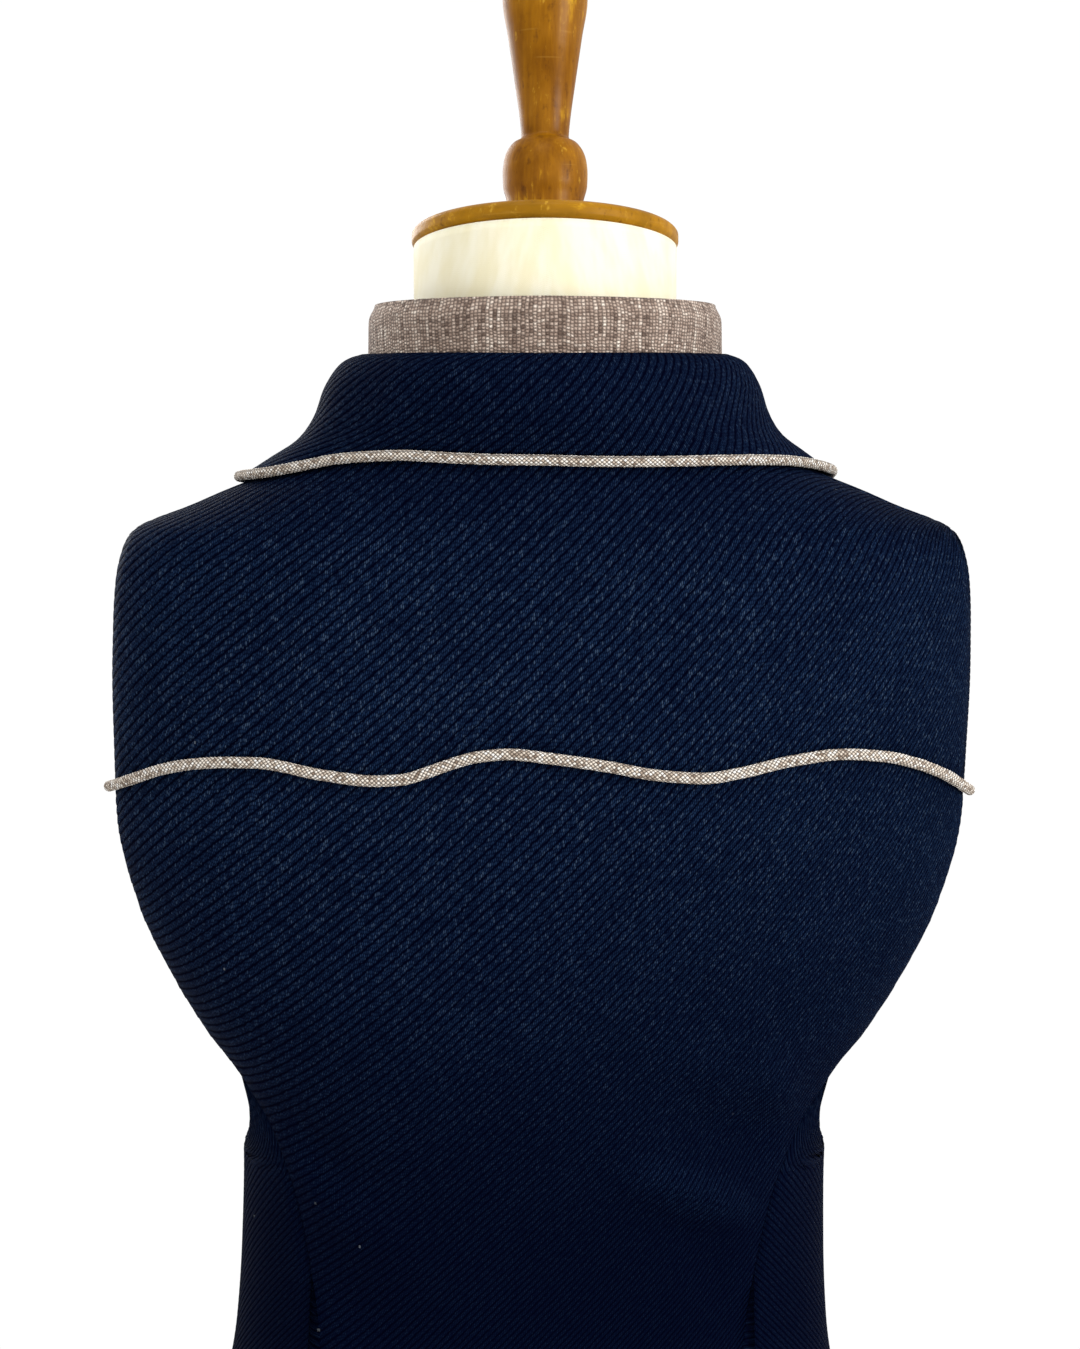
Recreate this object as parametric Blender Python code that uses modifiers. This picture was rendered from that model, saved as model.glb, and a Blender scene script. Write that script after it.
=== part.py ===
"""A western vest with a turned-down collar, worn by a limbless dress form.

Metres, +Z up. The wearer faces -Y, so the back, with its piped yoke, faces +Y,
and +X is the wearer's left. The origin is the centre of the base's underside.

The cloth follows one body surface. Its horizontal sections are superellipses,
read from the table SECTIONS, and an angle of 0 is the wearer's left side, 90 the
middle of the back and -90 the middle of the front. The form is the same surface
moved in.
"""
import math
from collections import namedtuple

import bmesh
import bpy
from mathutils import Matrix, Vector

# Cloth
WALL = 0.002             # thickness of each panel
SEAM_GAP = 0.0004        # between two panels along a seam
SEAM_TURN = 0.12         # half of that gap, as degrees round the body
REST_GAP = 0.0003        # between a piece and what it is fixed to
COLLAR_CLEAR = 0.0036    # from the vest's face to the outside of the collar on it
BAND_LIFT = 0.0008       # from the neckline to the foot of the standing band
YOKE_CORD = 0.0025       # radius of the piping in the yoke seam
COLLAR_CORD = 0.0023     # radius of the piping round the collar

# Heights of the vest
HEM = 0.205
ARMHOLE_FOOT = 0.387
SIDE_SEAM_TOP = 0.430
FRONT_NECK = 0.672
SHOULDER_TIP = 0.6825
NECK_POINT = 0.7285

# Front closing
LEAN = 0.0147            # how far aside the torso and its vest lean, for each metre down
LEAN_TOP = 0.735         # from here
LAP = 0.015              # how far each front passes the middle
DIP_END = 0.019          # the under front lies one wall deeper up to here
DIP_START = 0.036        # and starts to dip here
BUTTON_GAP = 0.0006      # between a button and the front, which is a little hollow
BUTTON_RADIUS = 0.009
BUTTON_THICK = 0.0032
BUTTON_FOOT = 0.255
BUTTON_PITCH = 0.0905
BUTTON_COUNT = 5

# Dress form
NECK_RADIUS = 0.0595
NECK_CENTRE_Y = 0.030
NECK_TOP = 0.8095        # height of the middle of the neck's sloping top
CAP_TILT = 9.0           # degrees that the top of the neck slopes forward
CAP_RADIUS = 0.0603
CAP_THICK = 0.0085
FORM_FOOT = 0.115
POST_RADIUS = 0.017
BASE_RADIUS = 0.135
BASE_THICK = 0.020
FORM_CLEAR = 0.0027      # from the vest's face to the form where the shoulders carry it

# The vest's face: half width, depth in front and behind, middle, roundness
Section = namedtuple("Section", "z half_width front back centre power")
SECTIONS = (
    Section(0.115, 0.166, 0.116, 0.120, 0.000, 2.30),
    Section(0.160, 0.167, 0.117, 0.118, 0.000, 2.30),
    Section(0.205, 0.161, 0.113, 0.111, 0.000, 2.30),
    Section(0.250, 0.152, 0.108, 0.104, 0.000, 2.30),
    Section(0.300, 0.1430, 0.103, 0.097, 0.000, 2.30),
    Section(0.340, 0.1405, 0.101, 0.093, 0.000, 2.30),
    Section(0.385, 0.1395, 0.103, 0.094, 0.000, 2.30),
    Section(0.410, 0.1420, 0.106, 0.096, 0.000, 2.30),
    Section(0.430, 0.1490, 0.108, 0.098, 0.000, 2.30),
    Section(0.450, 0.1615, 0.111, 0.100, 0.000, 2.30),
    Section(0.470, 0.1740, 0.113, 0.102, 0.000, 2.30),
    Section(0.510, 0.1935, 0.116, 0.105, 0.000, 2.30),
    Section(0.550, 0.2035, 0.116, 0.107, 0.000, 2.30),
    Section(0.580, 0.2050, 0.113, 0.1075, 0.000, 2.30),
    Section(0.610, 0.2055, 0.108, 0.1065, 0.001, 2.30),
    Section(0.640, 0.2045, 0.102, 0.103, 0.003, 2.30),
    Section(0.660, 0.2025, 0.097, 0.099, 0.006, 2.28),
    Section(0.675, 0.197, 0.092, 0.094, 0.010, 2.22),
    Section(0.6825, 0.190, 0.089, 0.0905, 0.012, 2.18),
    Section(0.687, 0.180, 0.086, 0.089, 0.013, 2.16),
    Section(0.6925, 0.165, 0.083, 0.087, 0.0145, 2.14),
    Section(0.700, 0.1475, 0.080, 0.084, 0.016, 2.12),
    Section(0.7065, 0.131, 0.076, 0.080, 0.018, 2.10),
    Section(0.7155, 0.1085, 0.072, 0.0765, 0.020, 2.10),
    Section(0.728, 0.081, 0.066, 0.0705, 0.024, 2.10),
    Section(0.740, 0.069, 0.062, 0.066, 0.028, 2.10),
)

# How far the form lies inside the vest's face, at its sides, behind and in front
Room = namedtuple("Room", "z side back front")
FORM_ROOM = (
    Room(0.115, 0.009, 0.009, 0.009),
    Room(0.205, 0.009, 0.008, 0.009),
    Room(0.340, 0.007, 0.006, 0.008),
    Room(0.430, 0.010, 0.007, 0.008),
    Room(0.470, 0.018, 0.007, 0.008),
    Room(0.550, 0.023, 0.007, 0.008),
    Room(0.620, 0.019, 0.006, 0.008),
    Room(0.660, 0.011, 0.005, 0.008),
    Room(0.675, 0.006, 0.004, 0.010),
    Room(0.6875, FORM_CLEAR, FORM_CLEAR, 0.017),
    Room(0.700, FORM_CLEAR, FORM_CLEAR, 0.022),
    Room(0.7155, FORM_CLEAR, FORM_CLEAR, 0.020),
    Room(0.740, FORM_CLEAR, FORM_CLEAR, 0.012),
)

FOOT_TUCK = 0.010        # how far the form's underside draws in
FORM_HEIGHTS = (
    0.125, 0.160, 0.205, 0.250, 0.300, 0.340, 0.385, 0.430, 0.470, 0.510, 0.550, 0.580,
    0.610, 0.640, 0.660, 0.675, 0.6825, 0.6875, 0.6925, 0.700, 0.7065, 0.7155,
)
NeckRing = namedtuple("NeckRing", "rise half_width depth tilt")
NECK_RINGS = (
    NeckRing(-0.0870, 0.0830, 0.0615, 0.0),
    NeckRing(-0.0765, 0.0640, 0.0610, 0.0),
    NeckRing(-0.0620, 0.0600, 0.0600, 0.2),
    NeckRing(-0.0300, NECK_RADIUS, NECK_RADIUS, 0.8),
    NeckRing(-REST_GAP, NECK_RADIUS, NECK_RADIUS, 1.0),
)

# Edges of the armhole, as angles round the body at each height
ArmholeEdge = namedtuple("ArmholeEdge", "z back front")
ARMHOLE = (
    ArmholeEdge(0.387, 4.0, 4.0),
    ArmholeEdge(0.3885, 9.0, -3.0),
    ArmholeEdge(0.394, 15.0, -10.0),
    ArmholeEdge(0.404, 20.0, -16.0),
    ArmholeEdge(0.417, 23.5, -21.0),
    ArmholeEdge(0.430, 25.0, -25.0),
    ArmholeEdge(0.450, 17.0, -30.0),
    ArmholeEdge(0.480, 17.0, -35.0),
    ArmholeEdge(0.530, 17.5, -39.0),
    ArmholeEdge(0.580, 18.0, -39.0),
    ArmholeEdge(0.630, 17.5, -35.0),
    ArmholeEdge(0.660, 16.5, -28.0),
    ArmholeEdge(0.675, 13.0, -18.0),
    ArmholeEdge(0.680, 9.0, -10.0),
    ArmholeEdge(0.6825, 0.0, 0.0),
)

# Seams and edges that are lines on the body surface
SeamPoint = namedtuple("SeamPoint", "z angle")
SIDE_BACK_SEAM = (
    SeamPoint(0.205, 52.0),
    SeamPoint(0.250, 51.5),
    SeamPoint(0.300, 50.5),
    SeamPoint(0.340, 47.0),
    SeamPoint(0.375, 42.0),
    SeamPoint(0.395, 37.0),
    SeamPoint(0.410, 33.0),
    SeamPoint(0.430, 25.0),
)
SHOULDER_SEAM = (
    SeamPoint(0.6825, 0.0),
    SeamPoint(0.690, 5.0),
    SeamPoint(0.700, 8.0),
    SeamPoint(0.7285, 8.0),
)
NecklinePoint = namedtuple("NecklinePoint", "angle z")
NECKLINE = (
    NecklinePoint(-90.0, 0.672),
    NecklinePoint(-80.0, 0.678),
    NecklinePoint(-71.0, 0.690),
    NecklinePoint(-56.0, 0.706),
    NecklinePoint(-37.0, 0.720),
    NecklinePoint(-15.0, 0.7255),
    NecklinePoint(8.0, 0.7285),
    NecklinePoint(40.0, 0.733),
    NecklinePoint(90.0, 0.735),
)
YokePoint = namedtuple("YokePoint", "x z")
YOKE_SEAM = (
    YokePoint(-0.2000, 0.5605),
    YokePoint(-0.1943, 0.5648),
    YokePoint(-0.1808, 0.5739),
    YokePoint(-0.1653, 0.5810),
    YokePoint(-0.1500, 0.5853),
    YokePoint(-0.1290, 0.5875),
    YokePoint(-0.1086, 0.5856),
    YokePoint(-0.0864, 0.5811),
    YokePoint(-0.0715, 0.5791),
    YokePoint(-0.0500, 0.5808),
    YokePoint(-0.0290, 0.5847),
    YokePoint(-0.0037, 0.5884),
    YokePoint(0.0140, 0.5902),
    YokePoint(0.0267, 0.5890),
    YokePoint(0.0378, 0.5859),
    YokePoint(0.0501, 0.5814),
    YokePoint(0.0592, 0.5787),
    YokePoint(0.0720, 0.5779),
    YokePoint(0.0943, 0.5800),
    YokePoint(0.1222, 0.5841),
    YokePoint(0.1371, 0.5835),
    YokePoint(0.1511, 0.5819),
    YokePoint(0.1659, 0.5783),
    YokePoint(0.1822, 0.5716),
    YokePoint(0.2000, 0.5635),
)
YOKE_LEVEL = 0.577       # height at which the seam's places across the back are taken
YOKE_END = 0.565         # about where it meets both armholes

# Collar: heights of the standing band's top and of the fold, and the fall's edge
BandPoint = namedtuple("BandPoint", "angle top fold")
BAND = (
    BandPoint(-90.0, 0.700, 0.692),
    BandPoint(-75.0, 0.713, 0.704),
    BandPoint(-60.0, 0.737, 0.724),
    BandPoint(-40.0, 0.765, 0.748),
    BandPoint(-20.0, 0.780, 0.760),
    BandPoint(0.0, 0.784, 0.763),
    BandPoint(90.0, 0.785, 0.762),
)
BAND_HALF_WIDTH = 0.080
BAND_BACK = 0.070
BAND_FRONT = 0.088
BAND_END = -86.0         # the angle at which the band and the collar end in front

FallPoint = namedtuple("FallPoint", "angle round left right bulge")
FALL_EDGE = (
    FallPoint(-86.0, -75.0, 0.6340, 0.6340, 0.003),
    FallPoint(-70.0, -66.0, 0.6550, 0.6550, 0.003),
    FallPoint(-55.0, -56.0, 0.6760, 0.6760, 0.003),
    FallPoint(-38.0, -38.0, 0.6945, 0.6950, 0.002),
    FallPoint(-20.0, -19.0, 0.7020, 0.7035, 0.001),
    FallPoint(0.0, 0.0, 0.7040, 0.7075, 0.001),
    FallPoint(20.0, 20.0, 0.7066, 0.7118, 0.003),
    FallPoint(38.0, 38.0, 0.7138, 0.7137, 0.004),
    FallPoint(47.0, 47.0, 0.7160, 0.7145, 0.005),
    FallPoint(60.0, 60.0, 0.7177, 0.7155, 0.006),
    FallPoint(90.0, 90.0, 0.7177, 0.7177, 0.009),
)
# From the fold to the edge: share of the fall's drop, of its reach and of its bulge
FallRow = namedtuple("FallRow", "way drop reach bulge")
FALL_SHAPE = (
    FallRow(0.00, 0.00, 0.00, 0.00),
    FallRow(0.17, 0.09, 0.17, 0.45),
    FallRow(0.34, 0.30, 0.31, 0.90),
    FallRow(0.50, 0.50, 0.38, 1.00),
    FallRow(0.67, 0.70, 0.52, 0.80),
    FallRow(0.84, 0.86, 0.77, 0.40),
    FallRow(1.00, 1.00, 1.00, 0.00),
)

# Grids of the panels: places of the rows between two heights, and numbers of columns
YOKE_LOW_ROWS = (0.0, 0.22, 0.44, 0.64, 0.80, 0.91, 0.97, 1.0)
BODY_HIGH_ROWS = (0.0, 0.14, 0.30, 0.50, 0.75, 1.0)
LOW_ROWS = (0.0, 0.22, 0.44, 0.66, 0.85, 1.0)
PRONG_ROWS = (0.0, 0.035, 0.16, 0.40, 0.70, 1.0)
FRONT_SIDE_ROWS = (0.0, 0.006, 0.025, 0.06, 0.12, 0.20, 0.33, 0.48, 0.64, 0.80, 0.91, 1.0)
FRONT_CORNER_ROWS = (0.0, 0.02, 0.40, 0.76, 1.0)
SHOULDER_ROWS = (0.0, 0.12, 0.30, 0.52, 0.74, 0.90, 1.0)
BACK_COLUMNS = 28
PRONG_COLUMNS = 4
FRONT_COLUMNS = 8
COLLAR_COLUMNS = 36
BAND_ROWS = 3
FORM_COLUMNS = 36
BUTTON_SIDES = 14
CAP_SIDES = 40
FINIAL_SIDES = 20
POST_SIDES = 24
BASE_SIDES = 48

# Turned pieces: height above the piece's foot and radius, from the top down
TurnedPoint = namedtuple("TurnedPoint", "height radius")
FINIAL = (
    TurnedPoint(0.1300, 0.0000),
    TurnedPoint(0.1285, 0.0085),
    TurnedPoint(0.1240, 0.0155),
    TurnedPoint(0.1170, 0.0192),
    TurnedPoint(0.1060, 0.0194),
    TurnedPoint(0.0880, 0.0168),
    TurnedPoint(0.0660, 0.0136),
    TurnedPoint(0.0480, 0.0112),
    TurnedPoint(0.0425, 0.0108),
    TurnedPoint(0.0403, 0.0122),
    TurnedPoint(0.0392, 0.0145),
    TurnedPoint(0.0372, 0.0163),
    TurnedPoint(0.0345, 0.0178),
    TurnedPoint(0.0310, 0.0188),
    TurnedPoint(0.0260, 0.0193),
    TurnedPoint(0.0200, 0.0191),
    TurnedPoint(0.0130, 0.0174),
    TurnedPoint(0.0060, 0.0165),
    TurnedPoint(0.0000, 0.0165),
    TurnedPoint(0.0000, 0.0000),
)
CAP = (
    TurnedPoint(CAP_THICK, 0.0000),
    TurnedPoint(CAP_THICK, CAP_RADIUS - 0.0040),
    TurnedPoint(CAP_THICK - 0.0010, CAP_RADIUS - 0.0014),
    TurnedPoint(CAP_THICK - 0.0030, CAP_RADIUS),
    TurnedPoint(0.0025, CAP_RADIUS),
    TurnedPoint(0.0006, CAP_RADIUS - 0.0015),
    TurnedPoint(0.0000, CAP_RADIUS - 0.0035),
    TurnedPoint(0.0000, 0.0000),
)
POST_LENGTH = FORM_FOOT - BASE_THICK - 2.0 * REST_GAP
POST = (
    TurnedPoint(POST_LENGTH, 0.0000),
    TurnedPoint(POST_LENGTH, POST_RADIUS + 0.012),
    TurnedPoint(POST_LENGTH - 0.006, POST_RADIUS + 0.012),
    TurnedPoint(POST_LENGTH - 0.010, POST_RADIUS),
    TurnedPoint(0.016, POST_RADIUS),
    TurnedPoint(0.010, POST_RADIUS + 0.004),
    TurnedPoint(0.004, POST_RADIUS + 0.009),
    TurnedPoint(0.0000, POST_RADIUS + 0.010),
    TurnedPoint(0.0000, 0.0000),
)
BASE = (
    TurnedPoint(BASE_THICK, 0.0000),
    TurnedPoint(BASE_THICK, BASE_RADIUS - 0.018),
    TurnedPoint(BASE_THICK - 0.002, BASE_RADIUS - 0.011),
    TurnedPoint(BASE_THICK - 0.006, BASE_RADIUS - 0.004),
    TurnedPoint(BASE_THICK - 0.011, BASE_RADIUS),
    TurnedPoint(0.004, BASE_RADIUS),
    TurnedPoint(0.001, BASE_RADIUS - 0.001),
    TurnedPoint(0.0000, BASE_RADIUS - 0.003),
    TurnedPoint(0.0000, 0.0000),
)
BUTTON = (
    TurnedPoint(BUTTON_THICK - 0.0008, 0.0000),
    TurnedPoint(BUTTON_THICK - 0.0008, BUTTON_RADIUS - 0.0030),
    TurnedPoint(BUTTON_THICK, BUTTON_RADIUS - 0.0018),
    TurnedPoint(BUTTON_THICK - 0.0006, BUTTON_RADIUS - 0.0003),
    TurnedPoint(0.0010, BUTTON_RADIUS),
    TurnedPoint(0.0000, BUTTON_RADIUS - 0.0015),
    TurnedPoint(0.0000, 0.0000),
)

# Colour, roughness and metallic value of each material
NAVY = ("navy_cloth", (0.012, 0.022, 0.050, 1.0), 0.75, 0.0)
TAUPE = ("taupe_cloth", (0.33, 0.25, 0.19, 1.0), 0.85, 0.0)
CREAM = ("cream_jersey", (0.90, 0.86, 0.72, 1.0), 0.85, 0.0)
WOOD = ("stained_wood", (0.33, 0.14, 0.035, 1.0), 0.35, 0.0)
HORN = ("dark_horn", (0.020, 0.018, 0.022, 1.0), 0.30, 0.0)


def read(rows, column, at):
    """Value of a named column at a place between rows, on a curve that never overshoots."""
    keys = [row[0] for row in rows]
    values = [getattr(row, column) for row in rows]
    at = min(max(at, keys[0]), keys[-1])
    last = len(keys) - 2
    low = max(index for index in range(last + 1) if keys[index] <= at)
    rises = [(values[i + 1] - values[i]) / (keys[i + 1] - keys[i]) for i in range(last + 1)]

    def slope(index):
        if index == 0:
            return rises[0]
        if index > last:
            return rises[last]
        before, after = rises[index - 1], rises[index]
        if before * after <= 0.0:
            return 0.0
        return 2.0 * before * after / (before + after)

    step = keys[low + 1] - keys[low]
    t = (at - keys[low]) / step
    return (
        values[low] * (1.0 + 2.0 * t) * (1.0 - t) ** 2
        + values[low + 1] * t * t * (3.0 - 2.0 * t)
        + slope(low) * step * t * (1.0 - t) ** 2
        - slope(low + 1) * step * t * t * (1.0 - t)
    )


def mix(low, high, share):
    return low + (high - low) * share


def signed_power(value, exponent):
    return math.copysign(abs(value) ** exponent, value)


def body_point(angle, z):
    """Point on the vest's face at an angle, in degrees, and a height."""
    turn = math.radians(angle)
    exponent = 2.0 / read(SECTIONS, "power", z)
    depth = "back" if math.sin(turn) >= 0.0 else "front"
    x = read(SECTIONS, "half_width", z) * signed_power(math.cos(turn), exponent)
    y = read(SECTIONS, "centre", z) + read(SECTIONS, depth, z) * signed_power(math.sin(turn), exponent)
    return Vector((x, y, z))


def body_normal(angle, z):
    """Outward unit normal of the vest's face."""
    turn, rise = 0.5, 0.0005
    around = body_point(angle + turn, z) - body_point(angle - turn, z)
    upward = body_point(angle, z + rise) - body_point(angle, z - rise)
    return around.cross(upward).normalized()


def raised(angle, z, height):
    """Point above the vest's face."""
    return body_point(angle, z) + body_normal(angle, z) * height


def body_measure(point):
    """1 on the vest's face, more outside it and less inside it."""
    z = point.z
    power = read(SECTIONS, "power", z)
    aside = abs(point.x) / read(SECTIONS, "half_width", z)
    forward = point.y - read(SECTIONS, "centre", z)
    depth = "back" if forward >= 0.0 else "front"
    return (aside ** power + (abs(forward) / read(SECTIONS, depth, z)) ** power) ** (1.0 / power)


def way_out(point):
    """Unit vector away from the vest's face, and the point's distance from it."""
    step = 0.0005
    here = body_measure(point)
    slope = Vector((
        body_measure(point + Vector((step, 0.0, 0.0))) - here,
        body_measure(point + Vector((0.0, step, 0.0))) - here,
        body_measure(point + Vector((0.0, 0.0, step))) - here,
    )) / step
    return slope.normalized(), (here - 1.0) / slope.length


def held_off(point, clearance):
    """The point, moved out where it lies nearer to the vest's face than the clearance."""
    for _ in range(4):
        outward, distance = way_out(point)
        if distance < clearance:
            point = point + outward * (clearance - distance)
    return point


def leaned(point):
    """The point, moved towards the wearer's left by the lean of the torso at its height."""
    return Vector((point.x + LEAN * max(LEAN_TOP - point.z, 0.0), point.y, point.z))


def clear_scene():
    for item in list(bpy.data.objects):
        bpy.data.objects.remove(item, do_unlink=True)


def material(look):
    name, colour, roughness, metallic = look
    made = bpy.data.materials.get(name)
    if made is None:
        made = bpy.data.materials.new(name)
        made.use_nodes = True
        surface = made.node_tree.nodes["Principled BSDF"]
        surface.inputs["Base Color"].default_value = colour
        surface.inputs["Roughness"].default_value = roughness
        surface.inputs["Metallic"].default_value = metallic
    return made


def add_object(name, data, look, collection):
    """Object of this name with its own material, in the vest's collection."""
    item = bpy.data.objects.new(name, data)
    data.materials.append(material((name,) + look[1:]))
    collection.objects.link(item)
    return item


def mesh_from(shape, name):
    data = bpy.data.meshes.new(name)
    shape.to_mesh(data)
    shape.free()
    data.shade_smooth()
    return data


def cloth(name, blocks, look, collection):
    """Cloth wall whose face is made of blocks of rows of points, thickened inward."""
    shape = bmesh.new()
    for rows in blocks:
        grid = [[shape.verts.new(leaned(point)) for point in row] for row in rows]
        for lower, upper in zip(grid, grid[1:]):
            for left in range(len(lower) - 1):
                shape.faces.new((lower[left], lower[left + 1], upper[left + 1], upper[left]))
    bmesh.ops.remove_doubles(shape, verts=shape.verts, dist=0.00005)
    item = add_object(name, mesh_from(shape, name), look, collection)
    wall = item.modifiers.new("wall", "SOLIDIFY")
    wall.thickness = WALL
    wall.offset = -1.0
    wall.use_even_offset = True
    return item


def turned(name, profile, look, collection, segments, place=Matrix()):
    """Solid turned about its own axis from a table of heights and radii."""
    shape = bmesh.new()
    points = [shape.verts.new((row.radius, 0.0, row.height)) for row in profile]
    for upper, lower in zip(points, points[1:]):
        shape.edges.new((upper, lower))
    item = add_object(name, mesh_from(shape, name), look, collection)
    screw = item.modifiers.new("turn", "SCREW")
    screw.steps = segments
    screw.render_steps = segments
    screw.use_merge_vertices = True
    screw.merge_threshold = 0.00005
    screw.use_smooth_shade = True
    item.matrix_world = place
    return item


def tube(name, points, radius, look, collection):
    """Round cord along a line of points."""
    data = bpy.data.curves.new(name, "CURVE")
    data.dimensions = "3D"
    data.bevel_depth = radius
    data.bevel_resolution = 2
    data.use_fill_caps = True
    line = data.splines.new("POLY")
    line.points.add(len(points) - 1)
    for spot, point in zip(line.points, points):
        spot.co = (*leaned(point), 1.0)
    return add_object(name, data, look, collection)


def across(start, end, columns):
    return [mix(start, end, column / columns) for column in range(columns + 1)]


def yoke_height(angle):
    """Height of the yoke seam, which waves across the back."""
    return read(YOKE_SEAM, "z", body_point(angle, YOKE_LEVEL).x)


def low_heights():
    return [mix(HEM, ARMHOLE_FOOT, share) for share in LOW_ROWS]


def prong_heights():
    return [mix(ARMHOLE_FOOT, SIDE_SEAM_TOP, share) for share in PRONG_ROWS]


def neckline_angle(z):
    """Angle at which the front neckline reaches a height."""
    low, high = NECKLINE[0].angle, SHOULDER_SEAM[-1].angle
    for _ in range(30):
        middle = (low + high) / 2.0
        if read(NECKLINE, "z", middle) < z:
            low = middle
        else:
            high = middle
    return low


def back_rows(edge, bottom, top, heights):
    """Rows from the wearer's left edge to the right, between two height functions."""
    rows = []
    for share in heights:
        start = edge(share) + SEAM_TURN
        angles = across(start, 180.0 - start, BACK_COLUMNS)
        rows.append([body_point(angle, mix(bottom(angle), top(angle), share)) for angle in angles])
    return rows


def back_yoke(collection):
    """Yoke of the back, from the wavy seam up to the shoulder seams and the neck."""
    edge_foot = YOKE_END + SEAM_GAP / 2.0

    def armhole(share):
        return read(ARMHOLE, "back", mix(edge_foot, SHOULDER_TIP, share))

    def shoulder(share):
        return read(SHOULDER_SEAM, "angle", mix(SHOULDER_TIP, NECK_POINT, share))

    low = back_rows(
        armhole,
        lambda angle: yoke_height(angle) + SEAM_GAP / 2.0,
        lambda angle: SHOULDER_TIP,
        YOKE_LOW_ROWS,
    )
    high = back_rows(
        shoulder,
        lambda angle: SHOULDER_TIP,
        lambda angle: read(NECKLINE, "z", min(angle, 180.0 - angle)),
        SHOULDER_ROWS,
    )
    return cloth("back_yoke", [low, high], NAVY, collection)


def back_body(collection):
    """Back below the yoke, between the side-back seams and the armholes."""
    edge_head = YOKE_END - SEAM_GAP / 2.0

    def side_seam(share):
        return read(SIDE_BACK_SEAM, "angle", mix(HEM, SIDE_SEAM_TOP, share))

    def armhole(share):
        return read(ARMHOLE, "back", mix(SIDE_SEAM_TOP, edge_head, share))

    low = back_rows(
        side_seam,
        lambda angle: HEM,
        lambda angle: SIDE_SEAM_TOP,
        [(z - HEM) / (SIDE_SEAM_TOP - HEM) for z in low_heights() + prong_heights()[1:]],
    )
    high = back_rows(
        armhole,
        lambda angle: SIDE_SEAM_TOP,
        lambda angle: yoke_height(angle) - SEAM_GAP / 2.0,
        BODY_HIGH_ROWS,
    )
    return cloth("back_body", [low, high], NAVY, collection)


def front_angle(aside, z):
    """Angle of the point of a front that is this far from the middle, less than 0 past it."""
    power = read(SECTIONS, "power", z)
    share = abs(aside) / read(SECTIONS, "half_width", z)
    return -90.0 + math.copysign(math.degrees(math.asin(share ** (power / 2.0))), aside)


def front_point(angle, z, side):
    """Point of a front. The wearer's right front dips where it passes under the left."""
    point = body_point(angle, z)
    if side < 0:
        share = min(max((DIP_START - point.x) / (DIP_START - DIP_END), 0.0), 1.0)
        depth = (WALL + SEAM_GAP) * share * share * (3.0 - 2.0 * share)
        point = point - body_normal(angle, z) * depth
    return Vector((point.x * side, point.y, point.z))


def front(name, side, collection):
    """Front that wraps round the side to the side-back seam, up to the shoulder seam."""

    def row(angles, z):
        if side > 0:
            angles.reverse()
        return [front_point(angle, z, side) for angle in angles]

    def main_row(start, end, z):
        """Row from an outer edge to the middle, with columns for the lap and its dip."""
        lap = [front_angle(aside, z) for aside in (DIP_START, DIP_END, 0.0, -LAP)]
        angles = across(start, lap[0], FRONT_COLUMNS) + lap[1:]
        shrink = (end - start) / (lap[-1] - start)
        return row([start + (angle - start) * shrink for angle in angles], z)

    def seam(z):
        return read(SIDE_BACK_SEAM, "angle", z) - SEAM_TURN

    def neck(z):
        return neckline_angle(z) if z > FRONT_NECK else front_angle(-LAP, z)

    foot_angle = ARMHOLE[0].back
    low = low_heights()
    side_rows = [mix(ARMHOLE_FOOT, FRONT_NECK, share) for share in FRONT_SIDE_ROWS]
    corner = [mix(FRONT_NECK, SHOULDER_TIP, share) for share in FRONT_CORNER_ROWS]
    top = [mix(SHOULDER_TIP, NECK_POINT, share) for share in SHOULDER_ROWS]

    def armhole_back(z):
        return min(read(ARMHOLE, "back", z), seam(z))

    def armhole_front(z):
        return read(ARMHOLE, "front", z) - (SEAM_TURN if z >= SHOULDER_TIP else 0.0)

    def shoulder(z):
        return read(SHOULDER_SEAM, "angle", z) - SEAM_TURN

    blocks = [
        [row(across(seam(z), foot_angle, PRONG_COLUMNS), z) for z in low],
        [main_row(foot_angle, neck(z), z) for z in low],
        [row(across(seam(z), armhole_back(z), PRONG_COLUMNS), z) for z in prong_heights()],
        [main_row(armhole_front(z), neck(z), z) for z in side_rows],
        [main_row(armhole_front(z), neck(z), z) for z in corner],
        [main_row(shoulder(z), min(neck(z), shoulder(z)), z) for z in top],
    ]
    return cloth(name, blocks, NAVY, collection)


def folded_side(angle):
    """Angle on the wearer's left half that mirrors this one, and the side it is on."""
    return (angle, 1.0) if angle <= 90.0 else (180.0 - angle, -1.0)


def band_point(angle, rise):
    """Point on the outside of the standing band, from the neckline to its top."""
    near, side = folded_side(angle)
    turn = math.radians(near)
    foot = body_point(near, read(NECKLINE, "z", near))
    foot.z += BAND_LIFT
    depth = BAND_BACK if turn >= 0.0 else BAND_FRONT
    head = Vector((
        BAND_HALF_WIDTH * math.cos(turn),
        NECK_CENTRE_Y + depth * math.sin(turn),
        read(BAND, "top", near),
    ))
    point = foot.lerp(head, rise)
    return Vector((point.x * side, point.y, point.z))


def fold_point(angle):
    """Point on the outside of the fold, a wall's thickness outside the band."""
    near, side = folded_side(angle)
    foot = band_point(near, 0.0)
    head = band_point(near, 1.0)
    rise = (read(BAND, "fold", near) - foot.z) / (head.z - foot.z)
    turn = 0.5
    along = band_point(near + turn, rise) - band_point(near - turn, rise)
    outward = along.cross(head - foot).normalized()
    point = foot.lerp(head, rise) + outward * (WALL + SEAM_GAP)
    return Vector((point.x * side, point.y, point.z))


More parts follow.
